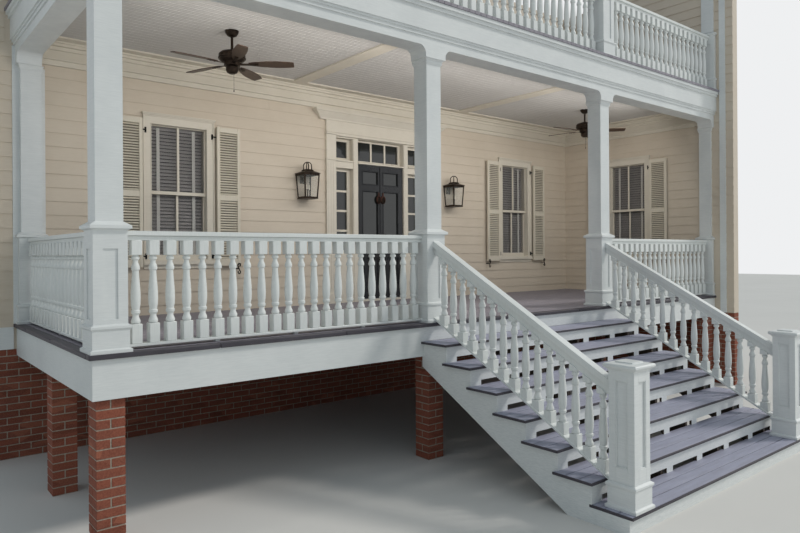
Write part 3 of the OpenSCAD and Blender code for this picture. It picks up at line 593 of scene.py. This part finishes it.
def side_by_side(start, stop, board, gap):
    """Both edges of boards laid side by side, the last one cut at the stop."""
    while start < stop - 1:
        yield start, min(start + board, stop)
        start += board + gap


def random_lengths(start, stop):
    """Both ends of boards of 900 to 1500 mm laid end to end, the last one cut or drawn out to the stop."""
    while start < stop - 1:
        end = min(start + random.uniform(900, 1500), stop)
        end = stop if stop - end < 300 else end
        yield start, end
        start = end


def make_floor():
    """Boards from front to back, with dark edge boards along the front and the open side, their dark tone partly
    painted shade.
    """
    low = FLOOR - BOARD
    edge, inner = -FLOOR_OVER, -FLOOR_OVER + 92
    boards = Piece()
    for a, b in side_by_side(inner, HOUSE_X, 82, 2):
        boards.box((a, inner, low + 2), (b, DEPTH, FLOOR))
    made = boards.done("porch_floor_boards", deck, "floor_paint", bevel=1.2)
    edges = Piece()
    for a, b in random_lengths(edge, HOUSE_X):
        edges.box((a, edge, low), (b - 2, inner - 2, FLOOR))
    for a, b in random_lengths(inner, DEPTH):
        edges.box((edge, a, low), (inner - 2, b - 2, FLOOR))
    edges.done("porch_floor_nosing", dark_edge_and_shade, "floor_paint", bevel=6)
    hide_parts("porch_floor")


def make_treads():
    """Three boards in a dark edging for each step, on a pale underlay that makes up the thickness; the edging's dark
    tone is partly painted shade.
    """
    boards, edges, underlay = Piece(), Piece(), Piece()
    trim_w, boards_across = 12, 3
    for k in range(1, STEPS + 1):
        y = -FLOOR_OVER - k * GOING
        z = FLOOR - k * RISER
        landing = k == STEPS
        x0 = TREAD_X0 + TREAD_END if landing else TREAD_X0
        x1 = LANDING_X1 if landing else TREAD_X1
        rear = y + GOING + NOSING + (0 if k == 1 else RISER_T)
        in0, in1, start = x0 + trim_w, x1 - trim_w, y + trim_w
        foot, top = z - TREAD_T, z - 1.5
        wide = (rear - start) / boards_across
        edges.box((x0, y, foot), (x1, start, top))
        edges.box((x0, start, foot), (in0, rear, top))
        edges.box((in1, start, foot), (x1, rear, top))
        # Thin dark plate under the boards: painted shade seen through the gaps between them.
        edges.box((in0, start, foot), (in1, rear, foot + 8))
        for i in range(boards_across):
            a = start + i * wide
            boards.box((in0, a + 2, foot + 9), (in1, a + wide - 7, z))
        inset = 2 if landing else TREAD_END
        underlay.box((TREAD_X0 + TREAD_END, y + NOSING, z - BOARD), (x1 - inset, rear, foot))
    made = boards.done("tread_boards", deck_across, "floor_paint", bevel=2.5)
    edges.done("tread_nosings", dark_edge_and_shade, "floor_paint", bevel=3)
    underlay.done("tread_underlay", white, "floor_paint")
    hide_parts("stair_treads")


def make_risers():
    """Riser boards with six slots along the foot of all but the top one, and the outer carriage on the right."""
    risers = Piece()
    x0, x1 = TREAD_X0 + TREAD_END, TREAD_X1 - TREAD_END
    slots = [(x, x + RISER_SLOT) for x in range(x0 + SLOT_MARGIN, x1 - RISER_SLOT, SLOT_PITCH)]
    for k in range(STEPS):
        y = -FLOOR_OVER - k * GOING + NOSING
        z = FLOOR - (k + 1) * RISER
        foot = z if k == 0 else z + SLOT_H
        risers.box((x0, y, foot), (x1 if k else STAIR_RIGHT + 10, y + RISER_T, z + RISER - BOARD))
        for a, b in free_spans(x0, x1, slots) if k else ():
            risers.box((a, y, z), (b, y + RISER_T, foot))
    risers.box((x0, FRONT_Y + NOSING, 0), (LANDING_X1 - TREAD_END, FRONT_Y + NOSING + RISER_T, LANDING - BOARD))
    made = risers.done("stair_riser_boards", riser_white, "white_paint")
    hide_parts("stair_risers")
    rake = RISER / GOING
    inner = NOSING + RISER_T
    y_top = SKIRT_Y + RISER_T
    z_top = FLOOR + (y_top + FLOOR_OVER) * rake - CARRIAGE_DROP
    outline = [(FRONT_Y + inner, 0)]
    for k in range(STEPS, 0, -1):
        outline += [(-FLOOR_OVER - (k - p) * GOING + inner, FLOOR - k * RISER - BOARD) for p in (0, 1)]
    outline += [(y_top, z_top), (y_top - z_top / rake, 0)]
    carriage = Piece()
    carriage.prism(outline, x1 - CARRIAGE_T, x1)
    carriage.done("stair_right_carriage", white, "white_paint")


def make_balcony_floor():
    boards = Piece()
    for a, b in side_by_side(-BALCONY_OVER, HOUSE_X, 88, 3):
        boards.box((a, -BALCONY_OVER, BALCONY), (b, DEPTH, BALCONY_TOP))
    made = boards.done("balcony_floor_boards", deck, "floor_paint", bevel=2)
    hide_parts("balcony_floor")


def make_ceiling():
    """Boards with sloped edges and a bead along the middle of each."""
    boards = Piece()
    board, slope = 85, 4
    top, edge = CEILING + 16, CEILING + slope
    for y, end in side_by_side(BEAM_IN, DEPTH, board, 2):
        boards.prism([(y, top), (y, edge), (y + slope, CEILING), (end - slope, CEILING), (end, edge), (end, top)],
                     BEAM_IN, HOUSE_X)
        boards.turned([(5, BEAM_IN), (5, HOUSE_X)], (0, y + board // 2, CEILING + 1), axis="x", sides=8)
    boards.box((BEAM_IN, BEAM_IN, CEILING + 12), (HOUSE_X, DEPTH, CEILING + 20))
    made = boards.done("ceiling_beadboards", ceiling_grey, "ceiling_paint")
    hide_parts("porch_ceiling")


# ---- Balustrades ----

# Radius and height of the turned part, from the top of the lower block
TURNED = [(24, 0), (34, 6), (36, 18), (34, 28), (24, 52), (24, 68), (34, 84), (34, 102), (28, 108), (30, 118),
          (35, 150), (37, 195), (36, 246), (32, 306), (27, 366), (25, 396), (25, 412), (32, 420), (33, 438),
          (28, 456), (20, 474), (20, 494), (30, 500), (31, 514), (28, 522), (22, 527), (24, 532)]
TURNED_H = TURNED[-1][1]
BLOCK = 80
PITCH = 135
PEDESTAL = 248
NEWEL_Y = FRONT_Y + 145
NEWEL_W = 226
# Half width, foot and head of the handrail, the board under it and the bottom rail, above the floor or the nosings
LEVEL_BARS = ((45, 877, 915), (25, 840, 877), (48, 20, 42))
RAKED_BARS = ((45, 765, 831), (25, 693, 765), (48, 13, 38))
# Foot and head of a baluster and the foot of its turned part
LEVEL_BALUSTER = (42, 842, 194)
RAKED_BALUSTER = (30, 702, 122)
RAIL_SEAT = 30


def baluster(blocks, turnings, run, low, high, foot, rake=0):
    """Turned baluster between two square blocks, whose outer ends follow the rake of the rails."""
    blocks.at(run)
    turnings.at(run)
    half = BLOCK / 2
    drop = half * rake
    neck = foot + TURNED_H
    for corners in ([(-half, low - drop), (half, low + drop), (half, foot), (-half, foot)],
                    [(-half, neck), (half, neck), (half, high + drop), (-half, high - drop)]):
        blocks.prism(corners, -half, half, lambda t, u, v: (u, t, v))
    turnings.turned([(r, foot + h) for r, h in TURNED], sides=20)


def rail_spots(length):
    """Middles of the balusters of one bay, with the rest of the length shared by both ends."""
    count = math.floor(length / PITCH)
    return [(length - (count - 1) * PITCH) / 2 + i * PITCH for i in range(count)]


def level_rail(rails, turnings, run, length):
    """One bay; run(u, v, w) is the point u along it, v across it and w above its floor."""
    rails.at(run)
    for half, low, high in LEVEL_BARS:
        rails.box((-RAIL_SEAT, -half, low), (length + RAIL_SEAT, half, high))
    for part in (0.25, 0.5, 0.75):
        rails.box((length * part - 22, -22, 0), (length * part + 22, 22, 21))
    for spot in rail_spots(length):
        baluster(rails, turnings, lambda u, v, w, spot=spot: run(spot + u, v, w), *LEVEL_BALUSTER)


def make_level_rails(name, posts, line, z, side_x, side_y, replaced):
    """Bays between the posts along the front at y = line, and one along the open side."""
    rails, turnings = Piece(), Piece()
    half = PEDESTAL / 2
    for a, b in posts:
        level_rail(rails, turnings, lambda u, v, w, a=a: (a + half + u, line + v, z + w), b - a - PEDESTAL)
    level_rail(rails, turnings, lambda u, v, w: (side_x - v, side_y + half + u, z + w), DEPTH - side_y - PEDESTAL)
    made = rails.done(name + "_rails", white_rail, "white_paint", bevel=4)
    turnings.done(name + "_balusters", white_rail, "white_paint")
    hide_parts(replaced)


def make_stair_rails():
    rails, turnings = Piece(), Piece()
    rake = RISER / GOING
    nosing = lambda y: FLOOR + (y + FLOOR_OVER) * rake
    low_y, high_y = NEWEL_Y + NEWEL_W / 2, -PEDESTAL / 2
    start, end = low_y - RAIL_SEAT, high_y + RAIL_SEAT
    for x in (STAIR_LEFT, STAIR_RIGHT):
        rails.at(plain)
        for half, low, high in RAKED_BARS:
            rails.prism([(y, nosing(y) + h) for y, h in ((start, low), (end, low), (end, high), (start, high))],
                        x - half, x + half)
        for spot in rail_spots(high_y - low_y):
            run = lambda u, v, w, x=x, y=high_y - spot: (x - v, y + u, nosing(y) + w)
            baluster(rails, turnings, run, *RAKED_BALUSTER, rake)
    made = rails.done("stair_rail_bars", white_rail, "white_paint", bevel=4)
    turnings.done("stair_rail_balusters", white_rail, "white_paint")
    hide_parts("stair_rails")


def make_newels():
    """Newel posts with a moulded base and cap and a beaded panel sunk in each face."""
    posts = Piece()
    half, inner, reveal, bead = NEWEL_W / 2, 53, 16, 7
    start, low, high, tall = 214, 330, 1012, 1087
    base = [(half + 26, 0), (half + 26, 24), (half + 10, 34), (half + 10, 168), (half + 22, 184), (half + 22, 200),
            (half, start)]
    cap = [(half, tall), (half + 6, tall + 6), (half + 12, tall + 16), (half + 28, tall + 24), (half + 34, tall + 34),
           (half + 34, tall + 46), (half + 26, tall + 56), (half - 36, tall + 62), (half - 36, tall + 72)]

    def spun(x, degrees):
        c, s = math.cos(math.radians(degrees)), math.sin(math.radians(degrees))
        return lambda u, v, w: (x + u * c - v * s, NEWEL_Y + u * s + v * c, LANDING + w)

    for x in (STAIR_LEFT, STAIR_RIGHT):
        posts.at(spun(x, 45))
        for outline in (base, cap):
            posts.turned([(r * math.sqrt(2), h) for r, h in outline], sides=4)
        posts.at(spun(x, 0))
        core = half - reveal
        posts.box((-core, -core, start), (core, core, tall))
        for quarter in (0, 90, 180, 270):
            posts.at(spun(x, quarter))
            posts.box((inner, inner, start), (half, half, tall))
            posts.box((-inner, -half, start), (inner, -core, low))
            posts.box((-inner, -half, high), (inner, -core, tall))
            for a in (-inner, inner - bead):
                posts.box((a, -half + 3, low), (a + bead, -core, high))
            for z in (low, high - bead):
                posts.box((-inner + bead, -half + 3, z), (inner - bead, -core, z + bead))
    made = posts.done("newel_joinery", white, "white_paint", bevel=1.5)
    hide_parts("newel_posts")


def make_balustrades():
    make_level_rails("porch", [(0, STAIR_LEFT), (STAIR_RIGHT, END_COLUMN)], 0, FLOOR, 0, 0, "porch_balustrades")
    spots = [-BALCONY_LINE, STAIR_LEFT, STAIR_RIGHT, END_COLUMN]
    make_level_rails("balcony", list(zip(spots, spots[1:])), -BALCONY_LINE, BALCONY_TOP, -BALCONY_LINE,
                     -BALCONY_LINE, "balcony_balustrades")
    make_stair_rails()
    make_newels()


# ---- Windows and shutters ----

def each_window():
    for wall, spot in WINDOWS:
        yield WALL_PLACE[wall](spot)


def make_windows():
    middle = SILL + SASH_H / 2
    top = SILL + SASH_H
    half = SASH_W / 2
    outer = half + CASING_W
    face = 2 - CASING_T
    bars = Piece()
    for place in each_window():
        bars.at(place)
        bars.box((-14, 24, middle + 18), (14, 46, top - 10))
        bars.box((-14, 64, SILL + 58), (14, 86, middle - 18))
        for s in (-1, 1):
            for edge, wide, out, low, high in ((s * outer, -s * 16, 42, SILL - 10, top + 112),
                                               (s * (half + 2), s * 10, 36, SILL, top + 10)):
                a, b = sorted((edge, edge + wide))
                bars.box((a, -out, low), (b, face, high))
        for over, out, low, high in ((14, 60, 120, HEAD_HIGH), (8, 52, 106, 120), (0, 38, 92, 106)):
            bars.box((-outer - over, -out, top + low), (outer + over, face, top + high))
        bars.box((-half - 12, -36, top), (half + 12, face, top + 10))
    bars.done("window_bars_and_beads", trim, "cream_paint", bevel=1.5)


def make_blinds():
    """Slats half closed, with two tapes before them and a near-black sheet behind them, painted shade that stands for
    the dark room.
    """
    top = SILL + SASH_H
    half = SASH_W / 2
    slats, tapes, dark = Piece(), Piece(), Piece()
    lean = math.radians(52)
    centre, slat_half, thick, pitch = 122, 25, 1.5, 43
    dy, dz = slat_half * math.cos(lean), slat_half * math.sin(lean)
    for place in each_window():
        slats.at(place)
        z = SILL + 30
        while z < top - 50:
            slats.prism([(centre - dy, z - dz), (centre + dy, z + dz), (centre + dy, z + dz + thick),
                         (centre - dy, z - dz + thick)], -half + 3, half - 3)
            z += pitch
        slats.box((-half + 3, 100, top - 45), (half - 3, 145, top))
        tapes.at(place)
        for s in (-1, 1):
            tapes.box((s * 226 - 20, 97, SILL + 12), (s * 226 + 20, 98.5, top - 20))
        dark.at(place)
        # Painted shade: a near-black sheet in place of the dark room behind the glass.
        dark.box((-half, 147, SILL), (half, 149.5, top))
    made = slats.done("blind_slats", slat, "blind_slats")
    tapes.done("blind_tapes", tape, "blind_slats")
    dark.done("blind_room_shade", room_shade_sheet, "blind_slats")
    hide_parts("window_blinds")


def shutter_dog(piece, x, z):
    """Wrought S that holds an open shutter against the wall."""
    curl = 24
    arc = lambda cx, cz, r, a0, a1: [(cx + r * math.cos(math.radians(a)), cz + r * math.sin(math.radians(a)))
                                     for a in range(a0, a1, 30 if a1 > a0 else -30)]
    path = (arc(x + 6, z + 44, curl * 0.5, -90, 60) + arc(x + 6, z + 44, curl, 60, 240)
            + arc(x - 6, z - 44, curl, 60, -120) + arc(x - 6, z - 44, curl * 0.5, -120, -270))
    front = -SHUTTER_OUT - SHUTTER_T - 8
    piece.bar([(u, front, v) for u, v in path], 7, sides=8)
    piece.bar([(x, front, z), (x, -4, z)], 7, sides=8)


def make_shutters():
    low, high = SILL - 86, SILL + SASH_H + 48
    middle = (low + high) / 2 - 15
    front, rear = -SHUTTER_OUT - SHUTTER_T, -SHUTTER_OUT
    stile, pitch = 42, 32
    rails = ((low, low + 92), (middle - 36, middle + 36), (high - 66, high))
    inner_edge = SASH_W / 2 + CASING_W + SHUTTER_GAP
    frames, louvres, louvre_shade_sheet, hooks = Piece(), Piece(), Piece(), Piece()
    for place in each_window():
        for s in (-1, 1):
            local = lambda x, y, z, s=s, place=place: place(s * (inner_edge + x), y, z)
            for piece in (frames, louvres, louvre_shade_sheet, hooks):
                piece.at(local)
            for a, b in ((0, stile), (SHUTTER_W - stile, SHUTTER_W)):
                frames.box((a, front, low), (b, rear, high))
            for a, b in rails:
                frames.box((stile, front + 1, a), (SHUTTER_W - stile, rear - 1, b))
            for a, b in ((rails[0][1], rails[1][0]), (rails[1][1], rails[2][0])):
                count = round((b - a) / pitch)
                step = (b - a) / count
                for i in range(count):
                    z = a + (i + 0.5) * step
                    louvres.prism([(front + 3, z - 12), (front + 7, z - 17), (rear - 6, z + 6), (rear - 10, z + 11)],
                                  stile - 2, SHUTTER_W - stile + 2)
            # Dark sheet behind the louvres, painted shade seen between them.
            louvre_shade_sheet.box((stile, rear - 4, low + 40), (SHUTTER_W - stile, rear - 1, high - 40))
            for z in (low + 130, high - 130):
                hooks.box((-SHUTTER_GAP - 40, -CASING_T - 8, z - 34), (-SHUTTER_GAP - 20, -CASING_T, z + 34))
                hooks.box((-SHUTTER_GAP - 30, rear + 2, z - 8), (10, -CASING_T - 6, z + 8))
                hooks.turned([(8, z - 24), (8, z + 24)], (-SHUTTER_GAP - 26, rear + 6, 0), sides=12)
            shutter_dog(hooks, SHUTTER_W - 30, low - 40)
    made = frames.done("shutter_frames", shutter_cream, "cream_paint", bevel=2)
    louvres.done("shutter_louvres", louvre_cream, "cream_paint")
    louvre_shade_sheet.done("shutter_louvre_shade", louvre_shade, "cream_paint")
    hooks.done("shutter_ironwork", iron, "bronze")
    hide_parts("shutters")


# ---- Door ----

def leaf_place(sign):
    """Local frame of a leaf: x from its hinge edge, y = 0 at its inner face."""
    hinge = DOOR_X + sign * (DOOR_W / 2 - 5)
    return lambda x, y, z: (hinge - sign * x, DEPTH + LEAF_Y + LEAF_T + y, FLOOR + z)


def frame_round(piece, x0, x1, z0, z1, y0, y1, wide):
    """Four bars round an opening from x0 to x1 and z0 to z1, y0 to y1 deep."""
    piece.box((x0 - wide, y0, z0 - wide), (x0, y1, z1 + wide))
    piece.box((x1, y0, z0 - wide), (x1 + wide, y1, z1 + wide))
    piece.box((x0, y0, z0 - wide), (x1, y1, z0))
    piece.box((x0, y0, z1), (x1, y1, z1 + wide))


def make_leaf_parts():
    """Mouldings, weather bar and knocker of both leaves, and the strip that covers their meeting."""
    leaf_w = DOOR_W / 2 - 7.5
    face = -LEAF_T
    for body, sign in (("door_left", -1), ("door_right", 1)):
        mould = Piece(leaf_place(sign))
        for z0, z1 in DOOR_PANELS:
            frame_round(mould, 96, leaf_w - 52, z0, z1, face - 6, face, 14)
            frame_round(mould, 102, leaf_w - 58, z0 + 6, z1 - 6, face - 2, face + 12, 6)
        mould.box((118, face + 2, 272), (leaf_w - 74, face + 10, 638))
        if sign < 0:
            mould.box((leaf_w - 14, face - 10, 36), (leaf_w + 3, face, DOOR_H - 8))
        mould.box((0, face - 12, 44), (leaf_w - 20, face, 60))
        mould.done(body + "_mouldings", black_door, "black_paint", body=body, bevel=2)
        knocker = Piece(leaf_place(sign))
        middle, height, ring = leaf_w - 40, 1560, 36
        oval = [(middle + ring * math.cos(a), height + 1.5 * ring * math.sin(a))
                for a in (2 * math.pi * k / 24 for k in range(25))]
        knocker.bar([(x, face - 11, z) for x, z in oval], 9)
        for x, z in oval[::2]:
            knocker.turned([(0.5, face - 21), (9, face - 15), (11, face)], (x, 0, z), axis="y", sides=12)
        knocker.box((middle - 8, face - 9, height + 52), (middle + 8, face, height + 110))
        knocker.done(body + "_knocker", ornament, "bronze", body=body)


def make_surround_parts():
    """Bars of the sidelights and the transom, and the mouldings of the surround's pilasters and head."""
    bars = Piece(back(DOOR_X))
    bar_front, bar_rear, bead = RECESS + 2, RECESS + 16, 16
    transom_low, transom_high, transom_half = DOOR_H + 57, SURROUND_TOP - 60, DOOR_W / 2 - 52
    for s in (-1, 1):
        x0, x1 = s * SIDELIGHT_X - SIDELIGHT_W / 2, s * SIDELIGHT_X + SIDELIGHT_W / 2
        for z in SIDELIGHT_BARS:
            bars.box((x0, bar_front, z - 16), (x1, bar_rear, z + 16))
        for low, high in ((780, DOOR_H - 131), (DOOR_H + 75, SURROUND_TOP - 85)):
            frame_round(bars, x0, x1, low, high, RECESS - 8, RECESS, bead)
        bars.box((s * SIDELIGHT_X - 164, -26, 2096), (s * SIDELIGHT_X + 164, 0, 2114))
        pilaster = s * (SURROUND_HALF - 83)
        for z, deep in ((2096, 60), (SURROUND_TOP - 14, 70)):
            bars.box((pilaster - 92, -deep, z), (pilaster + 92, 0, z + 20))
        bars.box((pilaster - 83, -58, 0), (pilaster + 86, -46, 150))
        for k in (-1, 0, 1):
            bars.box((pilaster + k * 44 - 14, -50, 190), (pilaster + k * 44 + 14, -46, 2060))
        casing = s * (DOOR_W / 2 + 46)
        bars.box((casing - 40, -8, 0), (casing + 40, 0, SURROUND_TOP - 40))
    for x in (-135, 135):
        bars.box((x - 15, bar_front, transom_low), (x + 15, bar_rear, transom_high))
    frame_round(bars, -transom_half, transom_half, transom_low, transom_high, RECESS - 8, RECESS, bead)
    bars.box((-DOOR_W / 2, -18, DOOR_H), (DOOR_W / 2, 0, DOOR_H + 20))
    bars.box((-SURROUND_HALF, -56, SURROUND_TOP + 14), (SURROUND_HALF, -44, SURROUND_TOP + 34))
    bars.done("door_surround_bars", trim, "cream_paint", bevel=1.5)


# ---- Lanterns and fans ----

def make_lantern_parts():
    """Rims of the tray and the roof, the branch with three candles and the plate on the wall."""
    half = LANTERN_W / 2
    foot = half * 0.84
    metal, wax = Piece(), Piece()
    for s in (-1, 1):
        spot = (DOOR_X + s * LANTERN_X, DEPTH - LANTERN_OUT, FLOOR + LANTERN_Z)
        place = lambda x, y, z, spot=spot: (spot[0] + x, spot[1] + y, spot[2] + z)
        metal.at(place)
        wax.at(place)
        for a, z0, z1 in ((foot, 2, 12), (half, LANTERN_H - 14, LANTERN_H - 2)):
            for mid in (3 - a, a - 3):
                metal.box((-a - 2, mid - 5, z0), (a + 2, mid + 5, z1))
                metal.box((mid - 5, -a, z0), (mid + 5, a, z1))
        metal.turned([(30, 0), (30, 6), (9, 12), (7, 110), (16, 116), (16, 122)], sides=20)
        for dx, dy in ((-26, 0), (26, 0), (0, 26)):
            metal.box((min(0, dx) - 3, min(0, dy) - 3, 110), (max(0, dx) + 3, max(0, dy) + 3, 117))
            wax.turned([(9, 117), (9, 150), (3, 154)], (dx, dy, 0), sides=12)
            wax.turned([(3, 154), (8, 166), (6, 180), (1, 192)], (dx, dy, 0), sides=12)
        metal.turned([(36, LANTERN_OUT - 26), (42, LANTERN_OUT - 20), (42, LANTERN_OUT - 14)],
                     (0, 0, LANTERN_H - 60), axis="y", sides=24)
    metal.done("lantern_fittings", bronze, "bronze", bevel=1)
    wax.done("lantern_candles", candle, "white_paint")


def make_fan_parts():
    """Screws of the blades, the ring and cap of the motor, and a pull chain that doesn't turn."""
    for body, (x, y, turn) in FAN_SPOTS.items():
        place = lambda u, v, w, x=x, y=y: (x + u, y + v, FLOOR + FAN_H + w)
        trimmings = Piece(place)
        for k in range(5):
            a = math.radians(72 * k + turn)
            for u, v in ((200, -10), (200, 10), (250, 0)):
                cz = -v * math.tan(math.radians(BLADE_PITCH)) - 6
                cx, cy = u * math.cos(a) - v * math.sin(a), u * math.sin(a) + v * math.cos(a)
                trimmings.turned([(2, cz - 5), (7, cz - 3), (7, cz + 1)], (cx, cy, 0), sides=12)
        trimmings.turned([(141, 52), (146, 56), (146, 64), (141, 68)], sides=48)
        trimmings.turned([(62, 139), (40, 148), (30, 150)], sides=32)
        trimmings.done(body + "_trimmings", bronze, "bronze", body=body)
        chain = Piece(place)
        chain.turned([(1.6, -270), (1.6, -96)], (20, 0, 0), sides=8)
        chain.turned([(1, -296), (5, -290), (6, -280), (2, -270)], (20, 0, 0), sides=12)
        chain.done(body + "_pull_chain", bronze, "bronze")


# ---- Materials of the kept CAD nodes ----

def dress_nodes():
    looks = {
        white: ["skirt_boards", "porch_columns", "front_beam", "side_beam", "balcony_fascia",
                "balcony_posts", "corner_boards"],
        carriage_white: ["stair_stringers"],
        cream: ["back_wall_left", "back_wall_right", "back_wall_over_door", "right_wall", "left_wall"],
        trim: ["wall_cornice", "ceiling_boards", "window_frames", "door_surround"],
        timber: ["floor_rim", "floor_joists"],
        black_door: ["door_leaf_left", "door_leaf_right"],
        door_pane_room_shade: ["door_glass_left", "door_glass_right", "door_surround_glass"],
        pane: ["window_glass"],
        lamp_pane: ["lantern_glass"],
        bronze: ["door_knob_left", "door_knob_right", "wall_lanterns", "fan_mounts", "fan_rotor_left",
                 "fan_rotor_right"],
        blades: ["fan_blades_left", "fan_blades_right"],
    }
    for look, names in looks.items():
        for name in names:
            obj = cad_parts[name]
            if not obj.material_slots:
                obj.data.materials.append(look)
            for spot in obj.material_slots:
                spot.material = look
            shade(obj, SHARP_CAD_ANGLE)


# ---- Stage, light and camera ----

def make_stage():
    """Pale ground on which the porch stands, no part of it."""
    ground = bpy.data.meshes.new("studio_floor")
    ground.from_pydata([(-60, -60, 0), (60, -60, 0), (60, 60, 0), (-60, 60, 0)], [], [(0, 1, 2, 3)])
    pale = Surface("studio_floor_paint", rough=0.9, level=0.1)
    pale.colour(pale.ramp(pale.noise(0.4, detail=3), [(0.3, colour("dcdad6")), (0.7, colour("e0deda"))]))
    ground.materials.append(pale.made)
    floor = add_object("studio_floor", ground)


def area_light(name, place, aim, wide, high, power, tint):
    lamp = bpy.data.lights.new(name, "AREA")
    lamp.shape = "RECTANGLE"
    lamp.size, lamp.size_y = wide, high
    lamp.energy = power
    lamp.color = tint
    made = add_object(name, lamp)
    made.location = place
    made.rotation_euler = (Vector(place) - Vector(aim)).to_track_quat("Z", "Y").to_euler()
    made.visible_camera = False
    made.visible_glossy = False


def make_world():
    """Dim blue sky on the porch and a pale one for the camera, in panes and in metal."""
    world = bpy.data.worlds.new("studio")
    bpy.context.scene.world = world
    world.use_nodes = True
    tree = world.node_tree
    sky = tree.nodes["Background"]
    fill(sky, {"Color": (0.8, 0.92, 1.0, 1), "Strength": 0.42})
    seen = tree.nodes.new("ShaderNodeBackground")
    fill(seen, {"Color": (0.86, 0.87, 0.88, 1)})
    rays = tree.nodes.new("ShaderNodeLightPath")
    shown = rays.outputs["Is Camera Ray"]
    for kind in ("Is Glossy Ray", "Is Transmission Ray"):
        either = tree.nodes.new("ShaderNodeMath")
        either.operation = "MAXIMUM"
        tree.links.new(shown, either.inputs[0])
        tree.links.new(rays.outputs[kind], either.inputs[1])
        shown = either.outputs["Value"]
    mix = tree.nodes.new("ShaderNodeMixShader")
    tree.links.new(shown, mix.inputs["Fac"])
    tree.links.new(sky.outputs["Background"], mix.inputs[1])
    tree.links.new(seen.outputs["Background"], mix.inputs[2])
    tree.links.new(mix.outputs["Shader"], tree.nodes["World Output"].inputs["Surface"])


def make_light():
    sun = bpy.data.lights.new("key", "SUN")
    sun.energy = 1.5
    sun.angle = math.radians(9)
    sun.color = (1.0, 0.96, 0.9)
    key = add_object("key", sun)
    key.rotation_euler = Vector((1.0, -0.55, 0.95)).to_track_quat("Z", "Y").to_euler()
    area_light("front_fill", (3.0, -9.0, 4.0), (1.0, 2, 3.0), 12.0, 6.0, 118, (1.0, 0.98, 0.95))
    area_light("porch_fill", (0.0, 0.1, 4.1), (0.0, 2.6, 3.0), 8.0, 0.5, 66, (1.0, 0.97, 0.93))


# Camera solved from the photo, in the porch's own millimetres, degrees and the photo's pixels
CAMERA_X = -1444.6
CAMERA_Y = -5263.9
CAMERA_Z = FLOOR + 727.2
CAMERA_YAW = 39.39
CAMERA_ROLL = -0.365
FOCAL_PIXELS = 659.53
CENTRE_ROW = 253.369
PHOTO_WIDE, PHOTO_HIGH = 800, 533


def make_camera():
    yaw, roll = math.radians(CAMERA_YAW), math.radians(CAMERA_ROLL)
    forward = Vector((math.sin(yaw), math.cos(yaw), 0))
    right = Vector((math.cos(yaw), -math.sin(yaw), 0))
    up = Vector((0, 0, 1))
    across = right * math.cos(roll) + up * math.sin(roll)
    upward = -right * math.sin(roll) + up * math.cos(roll)
    data = bpy.data.cameras.new("camera")
    data.sensor_fit = "HORIZONTAL"
    data.sensor_width = 36
    data.lens = 36 * FOCAL_PIXELS / PHOTO_WIDE
    data.shift_y = (CENTRE_ROW - PHOTO_HIGH / 2) / PHOTO_WIDE
    data.clip_end = 300
    eye = add_object("camera", data)
    turn = Matrix((across, upward, -forward)).transposed().to_4x4()
    place = Vector(((CAMERA_X - MID_X) / 1000, (CAMERA_Y - MID_Y) / 1000, CAMERA_Z / 1000))
    eye.matrix_world = Matrix.Translation(place) @ turn
    bpy.context.scene.camera = eye


def main():
    make_camera()
    dress_nodes()
    make_siding()
    make_bricks()
    make_floor()
    make_treads()
    make_risers()
    make_balcony_floor()
    make_ceiling()
    make_balustrades()
    make_windows()
    make_blinds()
    make_shutters()
    make_leaf_parts()
    make_surround_parts()
    make_lantern_parts()
    make_fan_parts()
    make_stage()
    make_world()
    make_light()
    bpy.context.scene.view_settings.view_transform = "Standard"


main()
